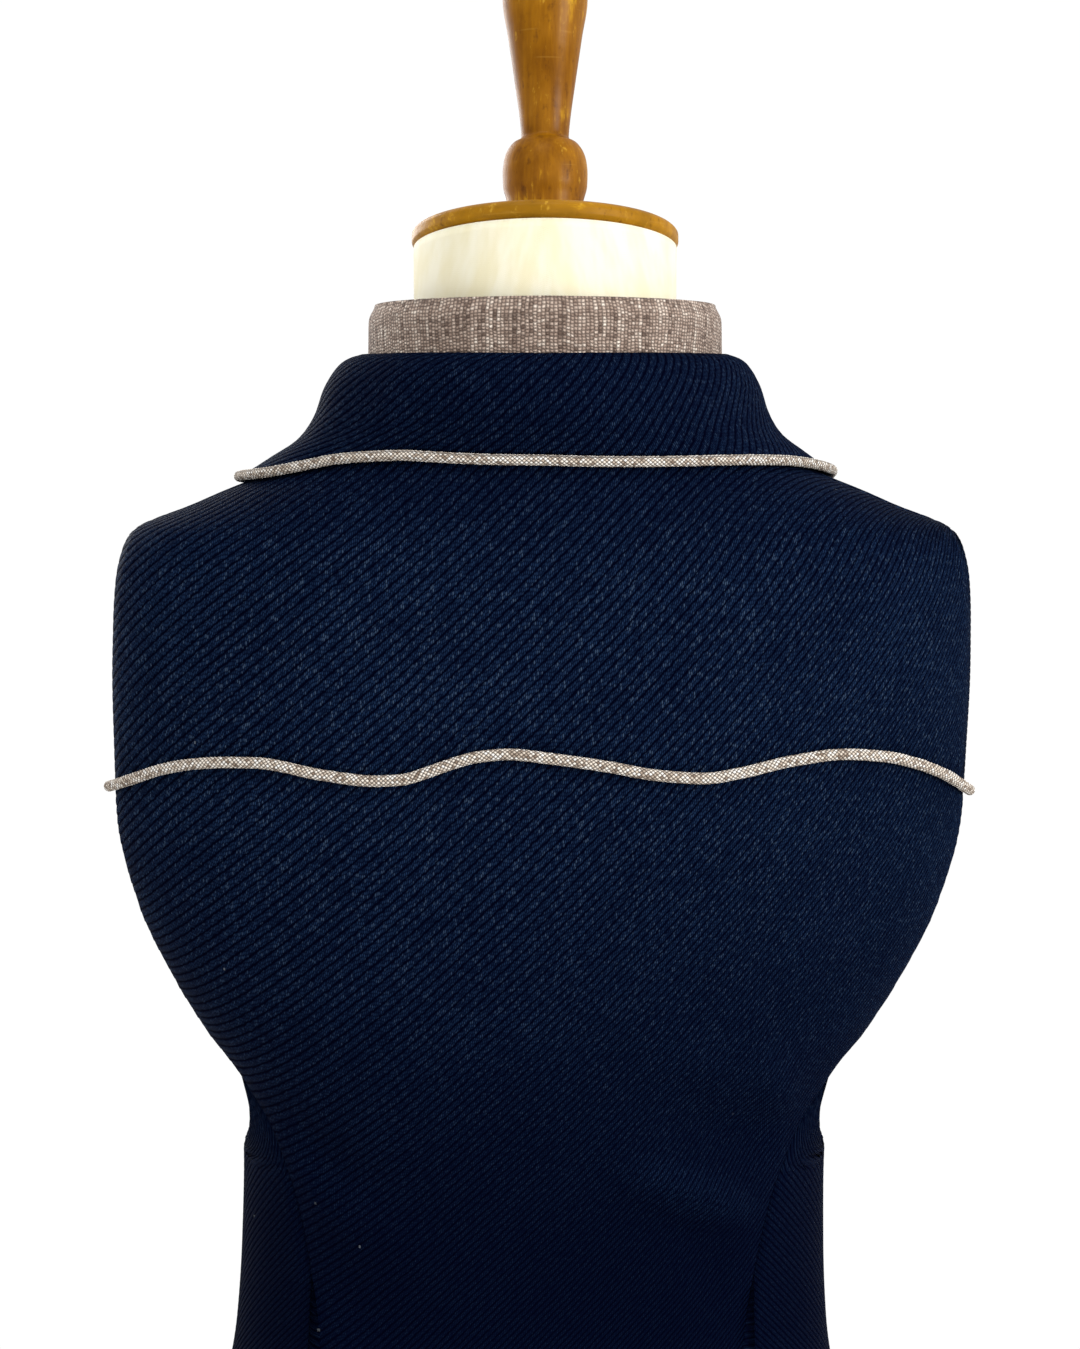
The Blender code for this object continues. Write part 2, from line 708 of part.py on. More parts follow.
def fall_point(angle, way):
    """Point on the outside of the turned-down collar, from its fold to its edge."""
    near, side = folded_side(angle)
    fold = fold_point(near)
    edge_angle = read(FALL_EDGE, "round", near)
    edge_height = read(FALL_EDGE, "left" if side > 0.0 else "right", near)
    edge = raised(edge_angle, edge_height, COLLAR_CLEAR)
    reach = read(FALL_SHAPE, "reach", way)
    drop = read(FALL_SHAPE, "drop", way)
    swell = read(FALL_SHAPE, "bulge", way) * read(FALL_EDGE, "bulge", near)
    outward = Vector((math.cos(math.radians(near)), math.sin(math.radians(near)), 0.0))
    point = Vector((
        mix(fold.x, edge.x, reach),
        mix(fold.y, edge.y, reach),
        mix(fold.z, edge.z, drop),
    )) + outward * swell
    if way > 0.0:
        point = held_off(point, COLLAR_CLEAR)
    return Vector((point.x * side, point.y, point.z))


def collar_angles():
    return across(BAND_END, 180.0 - BAND_END, COLLAR_COLUMNS)


def collar_stand(collection):
    """Band that stands round the neck inside the collar."""
    rises = across(0.0, 1.0, BAND_ROWS)
    rows = [[band_point(angle, rise) for angle in collar_angles()] for rise in rises]
    return cloth("collar_stand", [rows], TAUPE, collection)


def collar_fall(collection):
    """Turned-down collar, from the fold to its piped edge."""
    ways = [row.way for row in reversed(FALL_SHAPE)]
    rows = [[fall_point(angle, way) for angle in collar_angles()] for way in ways]
    return cloth("collar_fall", [rows], NAVY, collection)


def collar_piping(collection):
    """Cord along the collar's edge."""
    points = []
    for angle in collar_angles():
        edge = fall_point(angle, 1.0)
        beyond = edge - fall_point(angle, FALL_SHAPE[-2].way)
        outward = way_out(edge)[0]
        along = (fall_point(angle + 1.0, 1.0) - fall_point(angle - 1.0, 1.0)).normalized()
        beyond -= outward * beyond.dot(outward)
        beyond -= along * beyond.dot(along)
        beyond = beyond.normalized() * (COLLAR_CORD + REST_GAP)
        points.append(edge + beyond)
    return tube("collar_piping", points, COLLAR_CORD, TAUPE, collection)


def yoke_piping(collection):
    """Cord that stands out of the yoke seam."""
    start = read(ARMHOLE, "back", YOKE_END) + SEAM_TURN
    angles = across(180.0 - start, start, BACK_COLUMNS)
    points = [raised(angle, yoke_height(angle), YOKE_CORD + REST_GAP) for angle in angles]
    return tube("yoke_piping", points, YOKE_CORD, TAUPE, collection)


def buttons(collection):
    """Buttons down the left front, on the middle of the lap."""
    for index in range(BUTTON_COUNT):
        z = BUTTON_FOOT + index * BUTTON_PITCH
        normal = body_normal(-90.0, z)
        turn = normal.to_track_quat("Z", "Y").to_matrix().to_4x4()
        middle = leaned(body_point(-90.0, z) + normal * BUTTON_GAP)
        place = Matrix.Translation(middle) @ turn
        turned("button_%d" % (index + 1), BUTTON, HORN, collection, BUTTON_SIDES, place)


def neck_plane_height(y, rise):
    """Height of a plane that slopes as the neck's top does, above or below it."""
    return NECK_TOP + rise + (y - NECK_CENTRE_Y) * math.tan(math.radians(CAP_TILT))


def form_torso(collection):
    """Limbless torso and neck in one smooth body."""
    turns = [360.0 * column / FORM_COLUMNS for column in range(FORM_COLUMNS)]

    def body_ring(z, tuck):
        ring = []
        for turn in turns:
            angle = turn if turn <= 180.0 else turn - 360.0
            room = read(FORM_ROOM, "back" if angle >= 0.0 else "front", z)
            room += (read(FORM_ROOM, "side", z) - room) * math.cos(math.radians(angle)) ** 2
            ring.append(body_point(angle, z) - body_normal(angle, z) * (room + tuck))
        return ring

    def neck_ring(row):
        ring = []
        for turn in turns:
            x = row.half_width * math.cos(math.radians(turn))
            y = NECK_CENTRE_Y + row.depth * math.sin(math.radians(turn))
            sloping = neck_plane_height(y, row.rise)
            ring.append(Vector((x, y, mix(NECK_TOP + row.rise, sloping, row.tilt))))
        return ring

    foot = body_ring(FORM_HEIGHTS[0], FOOT_TUCK)
    for point in foot:
        point.z = FORM_FOOT
    rings = [foot]
    rings += [body_ring(z, 0.0) for z in FORM_HEIGHTS]
    rings += [neck_ring(row) for row in NECK_RINGS]

    shape = bmesh.new()
    loops = [[shape.verts.new(leaned(point)) for point in ring] for ring in rings]
    for lower, upper in zip(loops, loops[1:]):
        for column in range(FORM_COLUMNS):
            after = (column + 1) % FORM_COLUMNS
            shape.faces.new((lower[column], lower[after], upper[after], upper[column]))
    shape.faces.new(list(reversed(loops[0])))
    shape.faces.new(loops[-1])
    return add_object("form_torso", mesh_from(shape, "form_torso"), CREAM, collection)


def form_fittings(collection):
    """Wooden cap and finial on the neck, and the post and base under the torso."""
    tilt = Matrix.Rotation(math.radians(CAP_TILT), 4, "X")
    neck_top = Matrix.Translation((0.0, NECK_CENTRE_Y, NECK_TOP)) @ tilt
    turned("neck_cap", CAP, WOOD, collection, CAP_SIDES, neck_top)
    above_cap = Matrix.Translation((0.0, 0.0, CAP_THICK + REST_GAP))
    turned("finial", FINIAL, WOOD, collection, FINIAL_SIDES, neck_top @ above_cap)
    on_base = Matrix.Translation((0.0, 0.0, BASE_THICK + REST_GAP))
    turned("stand_post", POST, WOOD, collection, POST_SIDES, on_base)
    turned("stand_base", BASE, WOOD, collection, BASE_SIDES)


def build():
    clear_scene()
    collection = bpy.data.collections.new("western_vest")
    bpy.context.scene.collection.children.link(collection)
    back_yoke(collection)
    back_body(collection)
    front("left_front", 1.0, collection)
    front("right_front", -1.0, collection)
    collar_stand(collection)
    collar_fall(collection)
    collar_piping(collection)
    yoke_piping(collection)
    buttons(collection)
    form_torso(collection)
    form_fittings(collection)


build()
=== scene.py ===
"""Looks of a western vest with a piped yoke and a turned-down collar, on a limbless dress form.

Metres, +Z up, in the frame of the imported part. The wearer faces -Y, so the back
faces +Y and the camera, and +X is the wearer's left.

Each navy panel is a grid whose rows follow the ribs of its cloth. The cloth lies on
one body surface of horizontal superellipses, where an angle of 0 is the wearer's
left side, 90 the middle of the back and -90 the middle of the front.
"""
import math
from collections import namedtuple

import bmesh
import bpy
import numpy as np
from mathutils import Matrix, Vector


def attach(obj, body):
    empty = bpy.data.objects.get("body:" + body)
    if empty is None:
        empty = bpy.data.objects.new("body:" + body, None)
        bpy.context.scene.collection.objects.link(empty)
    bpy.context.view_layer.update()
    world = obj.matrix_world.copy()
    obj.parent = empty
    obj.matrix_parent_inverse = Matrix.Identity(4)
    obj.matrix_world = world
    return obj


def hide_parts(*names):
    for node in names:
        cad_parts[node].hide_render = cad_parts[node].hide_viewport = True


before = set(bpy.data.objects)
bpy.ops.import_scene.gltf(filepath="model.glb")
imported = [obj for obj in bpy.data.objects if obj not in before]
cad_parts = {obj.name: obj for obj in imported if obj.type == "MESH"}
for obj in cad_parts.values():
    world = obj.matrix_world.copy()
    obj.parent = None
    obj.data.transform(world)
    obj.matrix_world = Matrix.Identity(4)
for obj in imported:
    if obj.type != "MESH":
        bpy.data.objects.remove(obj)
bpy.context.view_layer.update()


def table(fields, *values):
    """Rows whose values can be read by name."""
    row = namedtuple("Row", fields)
    return tuple(row(*value) for value in values)


# Cloth, as cut and sewn
WALL = 0.002
SEAM_GAP = 0.0004        # between the yoke and the back, and between wall and wall
SEAM_TURN = 0.12         # degrees from a seam's line to the edges of its two panels
REST_GAP = 0.0003        # between two things that rest on each other
COLLAR_CLEAR = 0.0036    # from the vest's face to the turned-down collar
BAND_LIFT = 0.0008
YOKE_CORD = 0.0025
COLLAR_CORD = 0.0023
HEM = 0.205
WAIST = 0.340            # narrowest height of the back
ARMHOLE_FOOT = 0.387
SIDE_SEAM_TOP = 0.430
FRONT_NECK = 0.672
SHOULDER_FOOT = 0.66     # where an upright side turns in to the shoulder
SHOULDER_TIP = 0.6825
NECK_POINT = 0.7285
LEAN = 0.0147            # how far aside the torso and its vest lean, for each metre down
LEAN_TOP = 0.735         # from here
LAP = 0.015              # how far the fronts reach past the middle
DIP_END = 0.019          # the right front dips under the left one between these places
DIP_START = 0.036
CHEST = 0.45             # height at which the way round the body is measured

# Buttons
BUTTON_GAP = 0.0006
BUTTON_RADIUS = 0.009
BUTTON_THICK = 0.0032
BUTTON_FOOT = 0.255
BUTTON_PITCH = 0.0905
BUTTON_COUNT = 5
HOLE_RADIUS = 0.00105
HOLE_OFFSET = 0.0019
DRILL_REACH = 0.002      # past both faces of the button

# Dress form
NECK_CENTRE_Y = 0.030
NECK_TOP = 0.8095
CAP_TILT = 9.0
CAP_RADIUS = 0.0603
CAP_THICK = 0.0085
FORM_FOOT = 0.115
POST_RADIUS = 0.017
BASE_RADIUS = 0.135
BASE_THICK = 0.020
FORM_CLEAR = 0.0027

# Ribs of the navy cloth
RIB_HEIGHT = 0.00045     # from the groove to the crest
RIB_STEPS = (0.0, 0.14, 0.34, 0.66, 0.86)    # where a rib has rows of points
RIB_SLOPE = 1.0          # rise of a rib for each metre across, at the middle of the back
RIB_BEND = 1.6           # how much steeper it gets for each metre towards the wearer's right
FRONT_RIB_SLOPE = 0.9    # fall of a front's ribs for each metre towards its middle
WIDEST_RIB = 0.010       # between two ribs where they turn round the shoulder
FOLD_FADE = 0.022        # folds of the back flatten this near to its seams and edges
FOOT_ROWS = 60           # rows of a front from the hem to the armhole's foot
RIB_PITCH = table(
    "z pitch",
    (-0.6, 0.003), (0.3, 0.003), (0.45, 0.004), (0.58, 0.0054), (1.6, 0.0054),
)
THREAD = 0.0009          # width of one of the upright threads that make a rib
SEAM_ROLL = 0.0004       # how far the cloth turns down at its seams and edges
HEM_ROLL = 0.0006
SIDE_ROLL = 0.0007
FOLD_ROLL = 0.0009
BAND_ROLL = 0.0028
ROLL_REACH = 0.004       # of the last two
EDGE_LIFT = 0.4          # share of the ribs' height at a panel's edge
LEAST_HEIGHT = 0.0015    # of a column of the back
LEAST_RISE = 1e-7        # of the rib number from one row to the next
COLLAR_FOLD = 0.75       # height from which the collar's cloth is measured
EDGE_SNAP = 0.06         # share of a rib under which a row joins the panel's edge

# Yarns
THREAD_LEAN = 170.0      # threads that an upright line crosses in a metre
WARP = 0.00175           # taupe weave: from yarn to yarn across
WEFT = 0.00145           # and up the cloth
BIAS_CELL = 0.0020       # piping: length of a diamond between its crossing yarns
BIAS_CELLS_ROUND = 8.0
CORD_RELIEF = 0.00022
CORD_RINGS = 0.0005      # from one ring of a cord's points to the next
CORD_SIDES = 22
WALE = 0.0011            # jersey: width of a column of loops
COURSE = 0.0009          # and height of a row of them
LINT = (0.0009, 0.0012)  # size of a fleck of lint on the navy cloth

# The vest's face: half width, depth in front and behind, middle, roundness
SECTIONS = table(
    "z half_width front back centre power",
    (0.115, 0.166, 0.116, 0.12, 0.0, 2.3), (0.16, 0.167, 0.117, 0.118, 0.0, 2.3),
    (0.205, 0.161, 0.113, 0.111, 0.0, 2.3), (0.25, 0.152, 0.108, 0.104, 0.0, 2.3),
    (0.3, 0.143, 0.103, 0.097, 0.0, 2.3), (0.34, 0.1405, 0.101, 0.093, 0.0, 2.3),
    (0.385, 0.1395, 0.103, 0.094, 0.0, 2.3), (0.41, 0.142, 0.106, 0.096, 0.0, 2.3),
    (0.43, 0.149, 0.108, 0.098, 0.0, 2.3), (0.45, 0.1615, 0.111, 0.1, 0.0, 2.3),
    (0.47, 0.174, 0.113, 0.102, 0.0, 2.3), (0.51, 0.1935, 0.116, 0.105, 0.0, 2.3),
    (0.55, 0.2035, 0.116, 0.107, 0.0, 2.3), (0.58, 0.205, 0.113, 0.1075, 0.0, 2.3),
    (0.61, 0.2055, 0.108, 0.1065, 0.001, 2.3), (0.64, 0.2045, 0.102, 0.103, 0.003, 2.3),
    (0.66, 0.2025, 0.097, 0.099, 0.006, 2.28), (0.675, 0.197, 0.092, 0.094, 0.01, 2.22),
    (0.6825, 0.19, 0.089, 0.0905, 0.012, 2.18), (0.687, 0.18, 0.086, 0.089, 0.013, 2.16),
    (0.6925, 0.165, 0.083, 0.087, 0.0145, 2.14), (0.7, 0.1475, 0.08, 0.084, 0.016, 2.12),
    (0.7065, 0.131, 0.076, 0.08, 0.018, 2.1), (0.7155, 0.1085, 0.072, 0.0765, 0.02, 2.1),
    (0.728, 0.081, 0.066, 0.0705, 0.024, 2.1), (0.74, 0.069, 0.062, 0.066, 0.028, 2.1),
)

# How far the form lies inside the vest's face
FORM_ROOM = table(
    "z side back front",
    (0.115, 0.009, 0.009, 0.009), (0.205, 0.009, 0.008, 0.009), (0.34, 0.007, 0.006, 0.008),
    (0.43, 0.01, 0.007, 0.008), (0.47, 0.018, 0.007, 0.008), (0.55, 0.023, 0.007, 0.008),
    (0.62, 0.019, 0.006, 0.008), (0.66, 0.011, 0.005, 0.008), (0.675, 0.006, 0.004, 0.01),
    (0.6875, FORM_CLEAR, FORM_CLEAR, 0.017), (0.7, FORM_CLEAR, FORM_CLEAR, 0.022),
    (0.7155, FORM_CLEAR, FORM_CLEAR, 0.02), (0.74, FORM_CLEAR, FORM_CLEAR, 0.012),
)
NECK_RINGS = table(
    "rise half_width depth tilt",
    (-0.087, 0.083, 0.0615, 0.0), (-0.0765, 0.064, 0.061, 0.0), (-0.062, 0.06, 0.06, 0.2),
    (-0.03, 0.0595, 0.0595, 0.8), (-0.0003, 0.0595, 0.0595, 1.0),
)

# Edges of the armhole, as angles round the body at each height
ARMHOLE = table(
    "z back front",
    (0.387, 4.0, 4.0), (0.3885, 9.0, -3.0), (0.394, 15.0, -10.0), (0.404, 20.0, -16.0),
    (0.417, 23.5, -21.0), (0.43, 25.0, -25.0), (0.45, 17.0, -30.0), (0.48, 17.0, -35.0),
    (0.53, 17.5, -39.0), (0.58, 18.0, -39.0), (0.63, 17.5, -35.0), (0.66, 16.5, -28.0),
    (0.675, 13.0, -18.0), (0.68, 9.0, -10.0), (0.6825, 0.0, 0.0),
)

# Seams and edges that are lines on the body surface
SIDE_BACK_SEAM = table(
    "z angle",
    (0.205, 52.0), (0.25, 51.5), (0.3, 50.5), (0.34, 47.0), (0.375, 42.0), (0.395, 37.0),
    (0.41, 33.0), (0.43, 25.0),
)
SHOULDER_SEAM = table(
    "z angle",
    (0.6825, 0.0), (0.69, 5.0), (0.7, 8.0), (0.7285, 8.0),
)
NECKLINE = table(
    "angle z",
    (-90.0, 0.672), (-80.0, 0.678), (-71.0, 0.69), (-56.0, 0.706), (-37.0, 0.72),
    (-15.0, 0.7255), (8.0, 0.7285), (40.0, 0.733), (90.0, 0.735),
)
YOKE_SEAM = table(
    "x z",
    (-0.2, 0.5605), (-0.1943, 0.5648), (-0.1808, 0.5739), (-0.1653, 0.581), (-0.15, 0.5853),
    (-0.129, 0.5875), (-0.1086, 0.5856), (-0.0864, 0.5811), (-0.0715, 0.5791), (-0.05, 0.5808),
    (-0.029, 0.5847), (-0.0037, 0.5884), (0.014, 0.5902), (0.0267, 0.589), (0.0378, 0.5859),
    (0.0501, 0.5814), (0.0592, 0.5787), (0.072, 0.5779), (0.0943, 0.58), (0.1222, 0.5841),
    (0.1371, 0.5835), (0.1511, 0.5819), (0.1659, 0.5783), (0.1822, 0.5716), (0.2, 0.5635),
)
YOKE_LEVEL = 0.577       # height at which the seam's places across the back are taken
YOKE_END = 0.565         # about where it meets both armholes

# Collar: heights of the standing band's top and of the fold, and the fall's edge
BAND = table(
    "angle top fold",
    (-90.0, 0.7, 0.692), (-75.0, 0.713, 0.704), (-60.0, 0.737, 0.724), (-40.0, 0.765, 0.748),
    (-20.0, 0.78, 0.76), (0.0, 0.784, 0.763), (90.0, 0.785, 0.762),
)
BAND_HALF_WIDTH = 0.080
BAND_BACK = 0.070
BAND_FRONT = 0.088
BAND_END = -86.0
FALL_EDGE = table(
    "angle round left right bulge",
    (-86.0, -75.0, 0.634, 0.634, 0.003), (-70.0, -66.0, 0.655, 0.655, 0.003),
    (-55.0, -56.0, 0.676, 0.676, 0.003), (-38.0, -38.0, 0.6945, 0.695, 0.002),
    (-20.0, -19.0, 0.702, 0.7035, 0.001), (0.0, 0.0, 0.704, 0.7075, 0.001),
    (20.0, 20.0, 0.7066, 0.7118, 0.003), (38.0, 38.0, 0.7138, 0.7137, 0.004),
    (47.0, 47.0, 0.716, 0.7145, 0.005), (60.0, 60.0, 0.7177, 0.7155, 0.006),
    (90.0, 90.0, 0.7177, 0.7177, 0.009),
)
FALL_SHAPE = table(
    "way drop reach bulge",
    (0.0, 0.0, 0.0, 0.0), (0.17, 0.09, 0.17, 0.45), (0.34, 0.3, 0.31, 0.9),
    (0.5, 0.5, 0.38, 1.0), (0.67, 0.7, 0.52, 0.8), (0.84, 0.86, 0.77, 0.4),
    (1.0, 1.0, 1.0, 0.0),
)

# Rounded foot of the form: how far each ring lies inside its side, and how high above its foot
FORM_EDGE = table(
    "tuck rise",
    (0.060, 0.0), (0.010, 0.0), (0.004, 0.0022), (0.001, 0.0060),
)
FORM_EDGE_TOP = 0.010    # where the side begins
SIDE_RING_RISE = 0.009
SHOULDER_RING_RISE = 0.00462
NECK_FOOT = 0.7156

# Soft hollows and ridges that the worn cloth falls into: place on the back or on a
# front, half length and half width, turn of the length, and height above the cloth
FOLD = "x z length width turn height"
BACK_FOLDS = table(
    FOLD,
    (-0.088, 0.414, 0.032, 0.014, 28.0, -0.004), (-0.071, 0.387, 0.028, 0.009, 25.0, 0.0065),
    (-0.08, 0.446, 0.046, 0.013, 30.0, 0.002), (-0.106, 0.44, 0.05, 0.01, 62.0, 0.0022),
    (-0.088, 0.345, 0.034, 0.011, 55.0, -0.0026), (0.098, 0.4, 0.03, 0.013, 20.0, -0.0034),
    (0.09, 0.374, 0.042, 0.013, 20.0, 0.0028), (0.08, 0.33, 0.04, 0.012, 16.0, -0.0016),
    (0.0, 0.36, 0.07, 0.022, 0.0, -0.0014), (-0.03, 0.655, 0.08, 0.02, 4.0, 0.001),
)
FRONT_FOLDS = table(
    FOLD,
    (0.085, 0.402, 0.045, 0.013, 25.0, -0.003), (0.075, 0.376, 0.05, 0.014, 22.0, 0.0026),
    (0.095, 0.52, 0.06, 0.012, 70.0, 0.0022), (0.06, 0.3, 0.08, 0.016, 80.0, 0.0016),
)
# Ridge of the back whose threads are drawn lighter, a painted highlight
PAINTED_HIGHLIGHT_FOLD = table(FOLD, (-0.067, 0.388, 0.036, 0.012, 25.0, 1.0))[0]

# Turned pieces: height above the piece's foot and radius, from the top down
OUTLINE = "height radius"
FINIAL = table(
    OUTLINE,
    (0.13, 0.0), (0.1285, 0.0085), (0.124, 0.0155), (0.117, 0.0192), (0.106, 0.0194),
    (0.088, 0.0168), (0.066, 0.0136), (0.048, 0.0112), (0.0425, 0.0108), (0.0403, 0.0122),
    (0.0392, 0.0145), (0.0372, 0.0163), (0.0345, 0.0178), (0.031, 0.0188), (0.026, 0.0193),
    (0.02, 0.0191), (0.013, 0.0174), (0.006, 0.0165), (0.0, 0.0165), (0.0, 0.0),
)
CAP = table(
    OUTLINE,
    (CAP_THICK, 0.0), (CAP_THICK, CAP_RADIUS - 0.004), (CAP_THICK - 0.001, CAP_RADIUS - 0.0014),
    (CAP_THICK - 0.003, CAP_RADIUS), (0.0025, CAP_RADIUS), (0.0006, CAP_RADIUS - 0.0015),
    (0.0, CAP_RADIUS - 0.0035), (0.0, 0.0),
)
POST_LENGTH = FORM_FOOT - BASE_THICK - 2.0 * REST_GAP
POST = table(
    OUTLINE,
    (POST_LENGTH, 0.0), (POST_LENGTH, POST_RADIUS + 0.012),
    (POST_LENGTH - 0.006, POST_RADIUS + 0.012), (POST_LENGTH - 0.01, POST_RADIUS),
    (0.016, POST_RADIUS), (0.01, POST_RADIUS + 0.004), (0.004, POST_RADIUS + 0.009),
    (0.0, POST_RADIUS + 0.01), (0.0, 0.0),
)
BASE = table(
    OUTLINE,
    (BASE_THICK, 0.0), (BASE_THICK, BASE_RADIUS - 0.018),
    (BASE_THICK - 0.002, BASE_RADIUS - 0.011), (BASE_THICK - 0.006, BASE_RADIUS - 0.004),
    (BASE_THICK - 0.011, BASE_RADIUS), (0.004, BASE_RADIUS), (0.001, BASE_RADIUS - 0.001),
    (0.0, BASE_RADIUS - 0.003), (0.0, 0.0),
)
BUTTON = table(
    OUTLINE,
    (BUTTON_THICK - 0.0008, 0.0), (BUTTON_THICK - 0.0008, BUTTON_RADIUS - 0.003),
    (BUTTON_THICK, BUTTON_RADIUS - 0.0018), (BUTTON_THICK - 0.0006, BUTTON_RADIUS - 0.0003),
    (0.001, BUTTON_RADIUS), (0.0, BUTTON_RADIUS - 0.0015), (0.0, 0.0),
)
DRILL = table(
    OUTLINE,
    (BUTTON_THICK + DRILL_REACH, 0.0), (BUTTON_THICK + DRILL_REACH, HOLE_RADIUS),
    (-DRILL_REACH, HOLE_RADIUS), (-DRILL_REACH, 0.0),
)
FLOOR = table(
    OUTLINE,
    (0.0, 0.0), (0.0, 0.32), (-0.004, 0.326), (-0.012, 0.326), (-0.012, 0.0),
)

# Camera of the photograph and its light
CAMERA_PLACE = (0.0023, 1.10, 0.735)
CAMERA_PITCH = 6.36      # degrees down from the level
SENSOR = 24.0            # millimetres, for the taller side of the picture
FOCUS_PIXELS = 2330.0    # focal length
PHOTO_PIXELS = 1349.0    # height of the photograph
SURROUND = 1.02          # strength of the white all round
LIGHTS = table(
    "name place aim size energy",
    ("key", (-1.6, 1.1, 1.05), (0.0, 0.05, 0.60), 1.0, 27.0),
    ("top", (0.2, 0.9, 2.2), (0.0, 0.0, 0.6), 1.0, 8.0),
    ("front_fill", (1.2, -1.6, 1.2), (0.0, 0.0, 0.5), 1.4, 30.0),
)


def read(rows, column, at):
    """Values of a named column at places between rows, on a curve that never overshoots."""
    keys = np.array([row[0] for row in rows])
    values = np.array([getattr(row, column) for row in rows])
    at = np.clip(np.asarray(at, float), keys[0], keys[-1])
    rises = np.diff(values) / np.diff(keys)
    before, after = rises[:-1], rises[1:]
    same_way = before * after > 0.0
    middle = np.where(same_way, 2.0 * before * after / np.where(same_way, before + after, 1.0), 0.0)
    slopes = np.concatenate([rises[:1], middle, rises[-1:]])
    low = np.clip(np.searchsorted(keys, at, side="right") - 1, 0, len(keys) - 2)
    step = keys[low + 1] - keys[low]
    t = (at - keys[low]) / step
    return (
        values[low] * (1.0 + 2.0 * t) * (1.0 - t) ** 2
        + values[low + 1] * t * t * (3.0 - 2.0 * t)
        + slopes[low] * step * t * (1.0 - t) ** 2
        - slopes[low + 1] * step * t * t * (1.0 - t)
    )


def mix(low, high, share):
    return low + (high - low) * share


def unit(vectors):
    return vectors / np.linalg.norm(vectors, axis=-1, keepdims=True)


def smooth_step(share):
    return share * share * (3.0 - 2.0 * share)


def so_far(steps, axis=0):
    """Sums of the steps up to each place, from 0 at the first one."""
    return np.insert(np.cumsum(steps, axis=axis), 0, 0.0, axis=axis)


def lengths_between(points, axis=0):
    return np.linalg.norm(np.diff(points, axis=axis), axis=-1)


def body_point(angle, z):
    """Points on the vest's face at angles, in degrees, and heights."""
    angle, z = np.broadcast_arrays(np.asarray(angle, float), np.asarray(z, float))
    turn = np.radians(angle)
    exponent = 2.0 / read(SECTIONS, "power", z)
    aside, ahead = np.cos(turn), np.sin(turn)
    depth = np.where(ahead >= 0.0, read(SECTIONS, "back", z), read(SECTIONS, "front", z))
    x = read(SECTIONS, "half_width", z) * np.sign(aside) * np.abs(aside) ** exponent
    y = read(SECTIONS, "centre", z) + depth * np.sign(ahead) * np.abs(ahead) ** exponent
    return np.stack([x, y, z], axis=-1)


def body_normal(angle, z):
    """Outward unit normals of the vest's face."""
    turn, rise = 0.5, 0.0005
    around = body_point(angle + turn, z) - body_point(angle - turn, z)
    upward = body_point(angle, z + rise) - body_point(angle, z - rise)
    return unit(np.cross(around, upward))


def body_measure(point):
    """1 on the vest's face, more outside it and less inside it."""
    z = point[..., 2]
    power = read(SECTIONS, "power", z)
    aside = np.abs(point[..., 0]) / read(SECTIONS, "half_width", z)
    forward = point[..., 1] - read(SECTIONS, "centre", z)
    depth = np.where(forward >= 0.0, read(SECTIONS, "back", z), read(SECTIONS, "front", z))
    return (aside ** power + (np.abs(forward) / depth) ** power) ** (1.0 / power)


def way_out(point):
    """Unit vectors away from the vest's face, and the points' distances from it."""
    step = 0.0005
    here = body_measure(point)
    moves = np.eye(3) * step
    slope = np.stack([body_measure(point + move) - here for move in moves], axis=-1) / step
    return unit(slope), (here - 1.0) / np.linalg.norm(slope, axis=-1)


def held_off(point, clearance):
    """The points, moved out where they lie nearer to the vest's face than the clearance."""
    for _ in range(4):
        outward, distance = way_out(point)
        point = point + outward * np.maximum(clearance - distance, 0.0)[..., None]
    return point


def leaned(points):
    """The points, moved towards the wearer's left by the lean of the torso at their heights."""
    shift = LEAN * np.maximum(LEAN_TOP - points[..., 2], 0.0)
    return points + shift[..., None] * np.array([1.0, 0.0, 0.0])


def yoke_height(angle):
    """Height of the yoke seam, which waves across the back."""
    return read(YOKE_SEAM, "z", body_point(angle, YOKE_LEVEL)[..., 0])


def neckline_angle(z):
    """Angle at which the front neckline reaches a height."""
    low = np.full(np.shape(z), NECKLINE[0].angle)
    high = np.full(np.shape(z), SHOULDER_SEAM[-1].angle)
    for _ in range(30):
        middle = (low + high) / 2.0
        below = read(NECKLINE, "z", middle) < z
        low = np.where(below, middle, low)
        high = np.where(below, high, middle)
    return low


def front_angle(aside, z):
    """Angle of the point of a front that is this far from the middle, less than 0 past it."""
    power = read(SECTIONS, "power", z)
    share = np.abs(aside) / read(SECTIONS, "half_width", z)
    return -90.0 + np.sign(aside) * np.degrees(np.arcsin(share ** (power / 2.0)))


def folded_side(angle):
    """Angle on the wearer's left half that mirrors this one, and the side it is on."""
    return np.where(angle <= 90.0, angle, 180.0 - angle), np.where(angle <= 90.0, 1.0, -1.0)


def on_side(point, side):
    return point * np.stack([side, np.ones_like(side), np.ones_like(side)], axis=-1)


def band_point(angle, rise):
    """Points on the outside of the standing band, from the neckline to its top."""
    near, side = folded_side(angle)
    turn = np.radians(near)
    foot = body_point(near, read(NECKLINE, "z", near)) + np.array([0.0, 0.0, BAND_LIFT])
    depth = np.where(turn >= 0.0, BAND_BACK, BAND_FRONT)
    head = np.stack([
        BAND_HALF_WIDTH * np.cos(turn),
        NECK_CENTRE_Y + depth * np.sin(turn),
        read(BAND, "top", near),
    ], axis=-1)
    return on_side(mix(foot, head, np.asarray(rise)[..., None]), side)


def fold_point(angle):
    """Points on the outside of the fold, a wall's thickness outside the band."""
    near, side = folded_side(angle)
    foot = band_point(near, np.zeros_like(near))
    head = band_point(near, np.ones_like(near))
    rise = (read(BAND, "fold", near) - foot[..., 2]) / (head[..., 2] - foot[..., 2])
    turn = 0.5
    along = band_point(near + turn, rise) - band_point(near - turn, rise)
    outward = unit(np.cross(along, head - foot))
    return on_side(mix(foot, head, rise[..., None]) + outward * (WALL + SEAM_GAP), side)


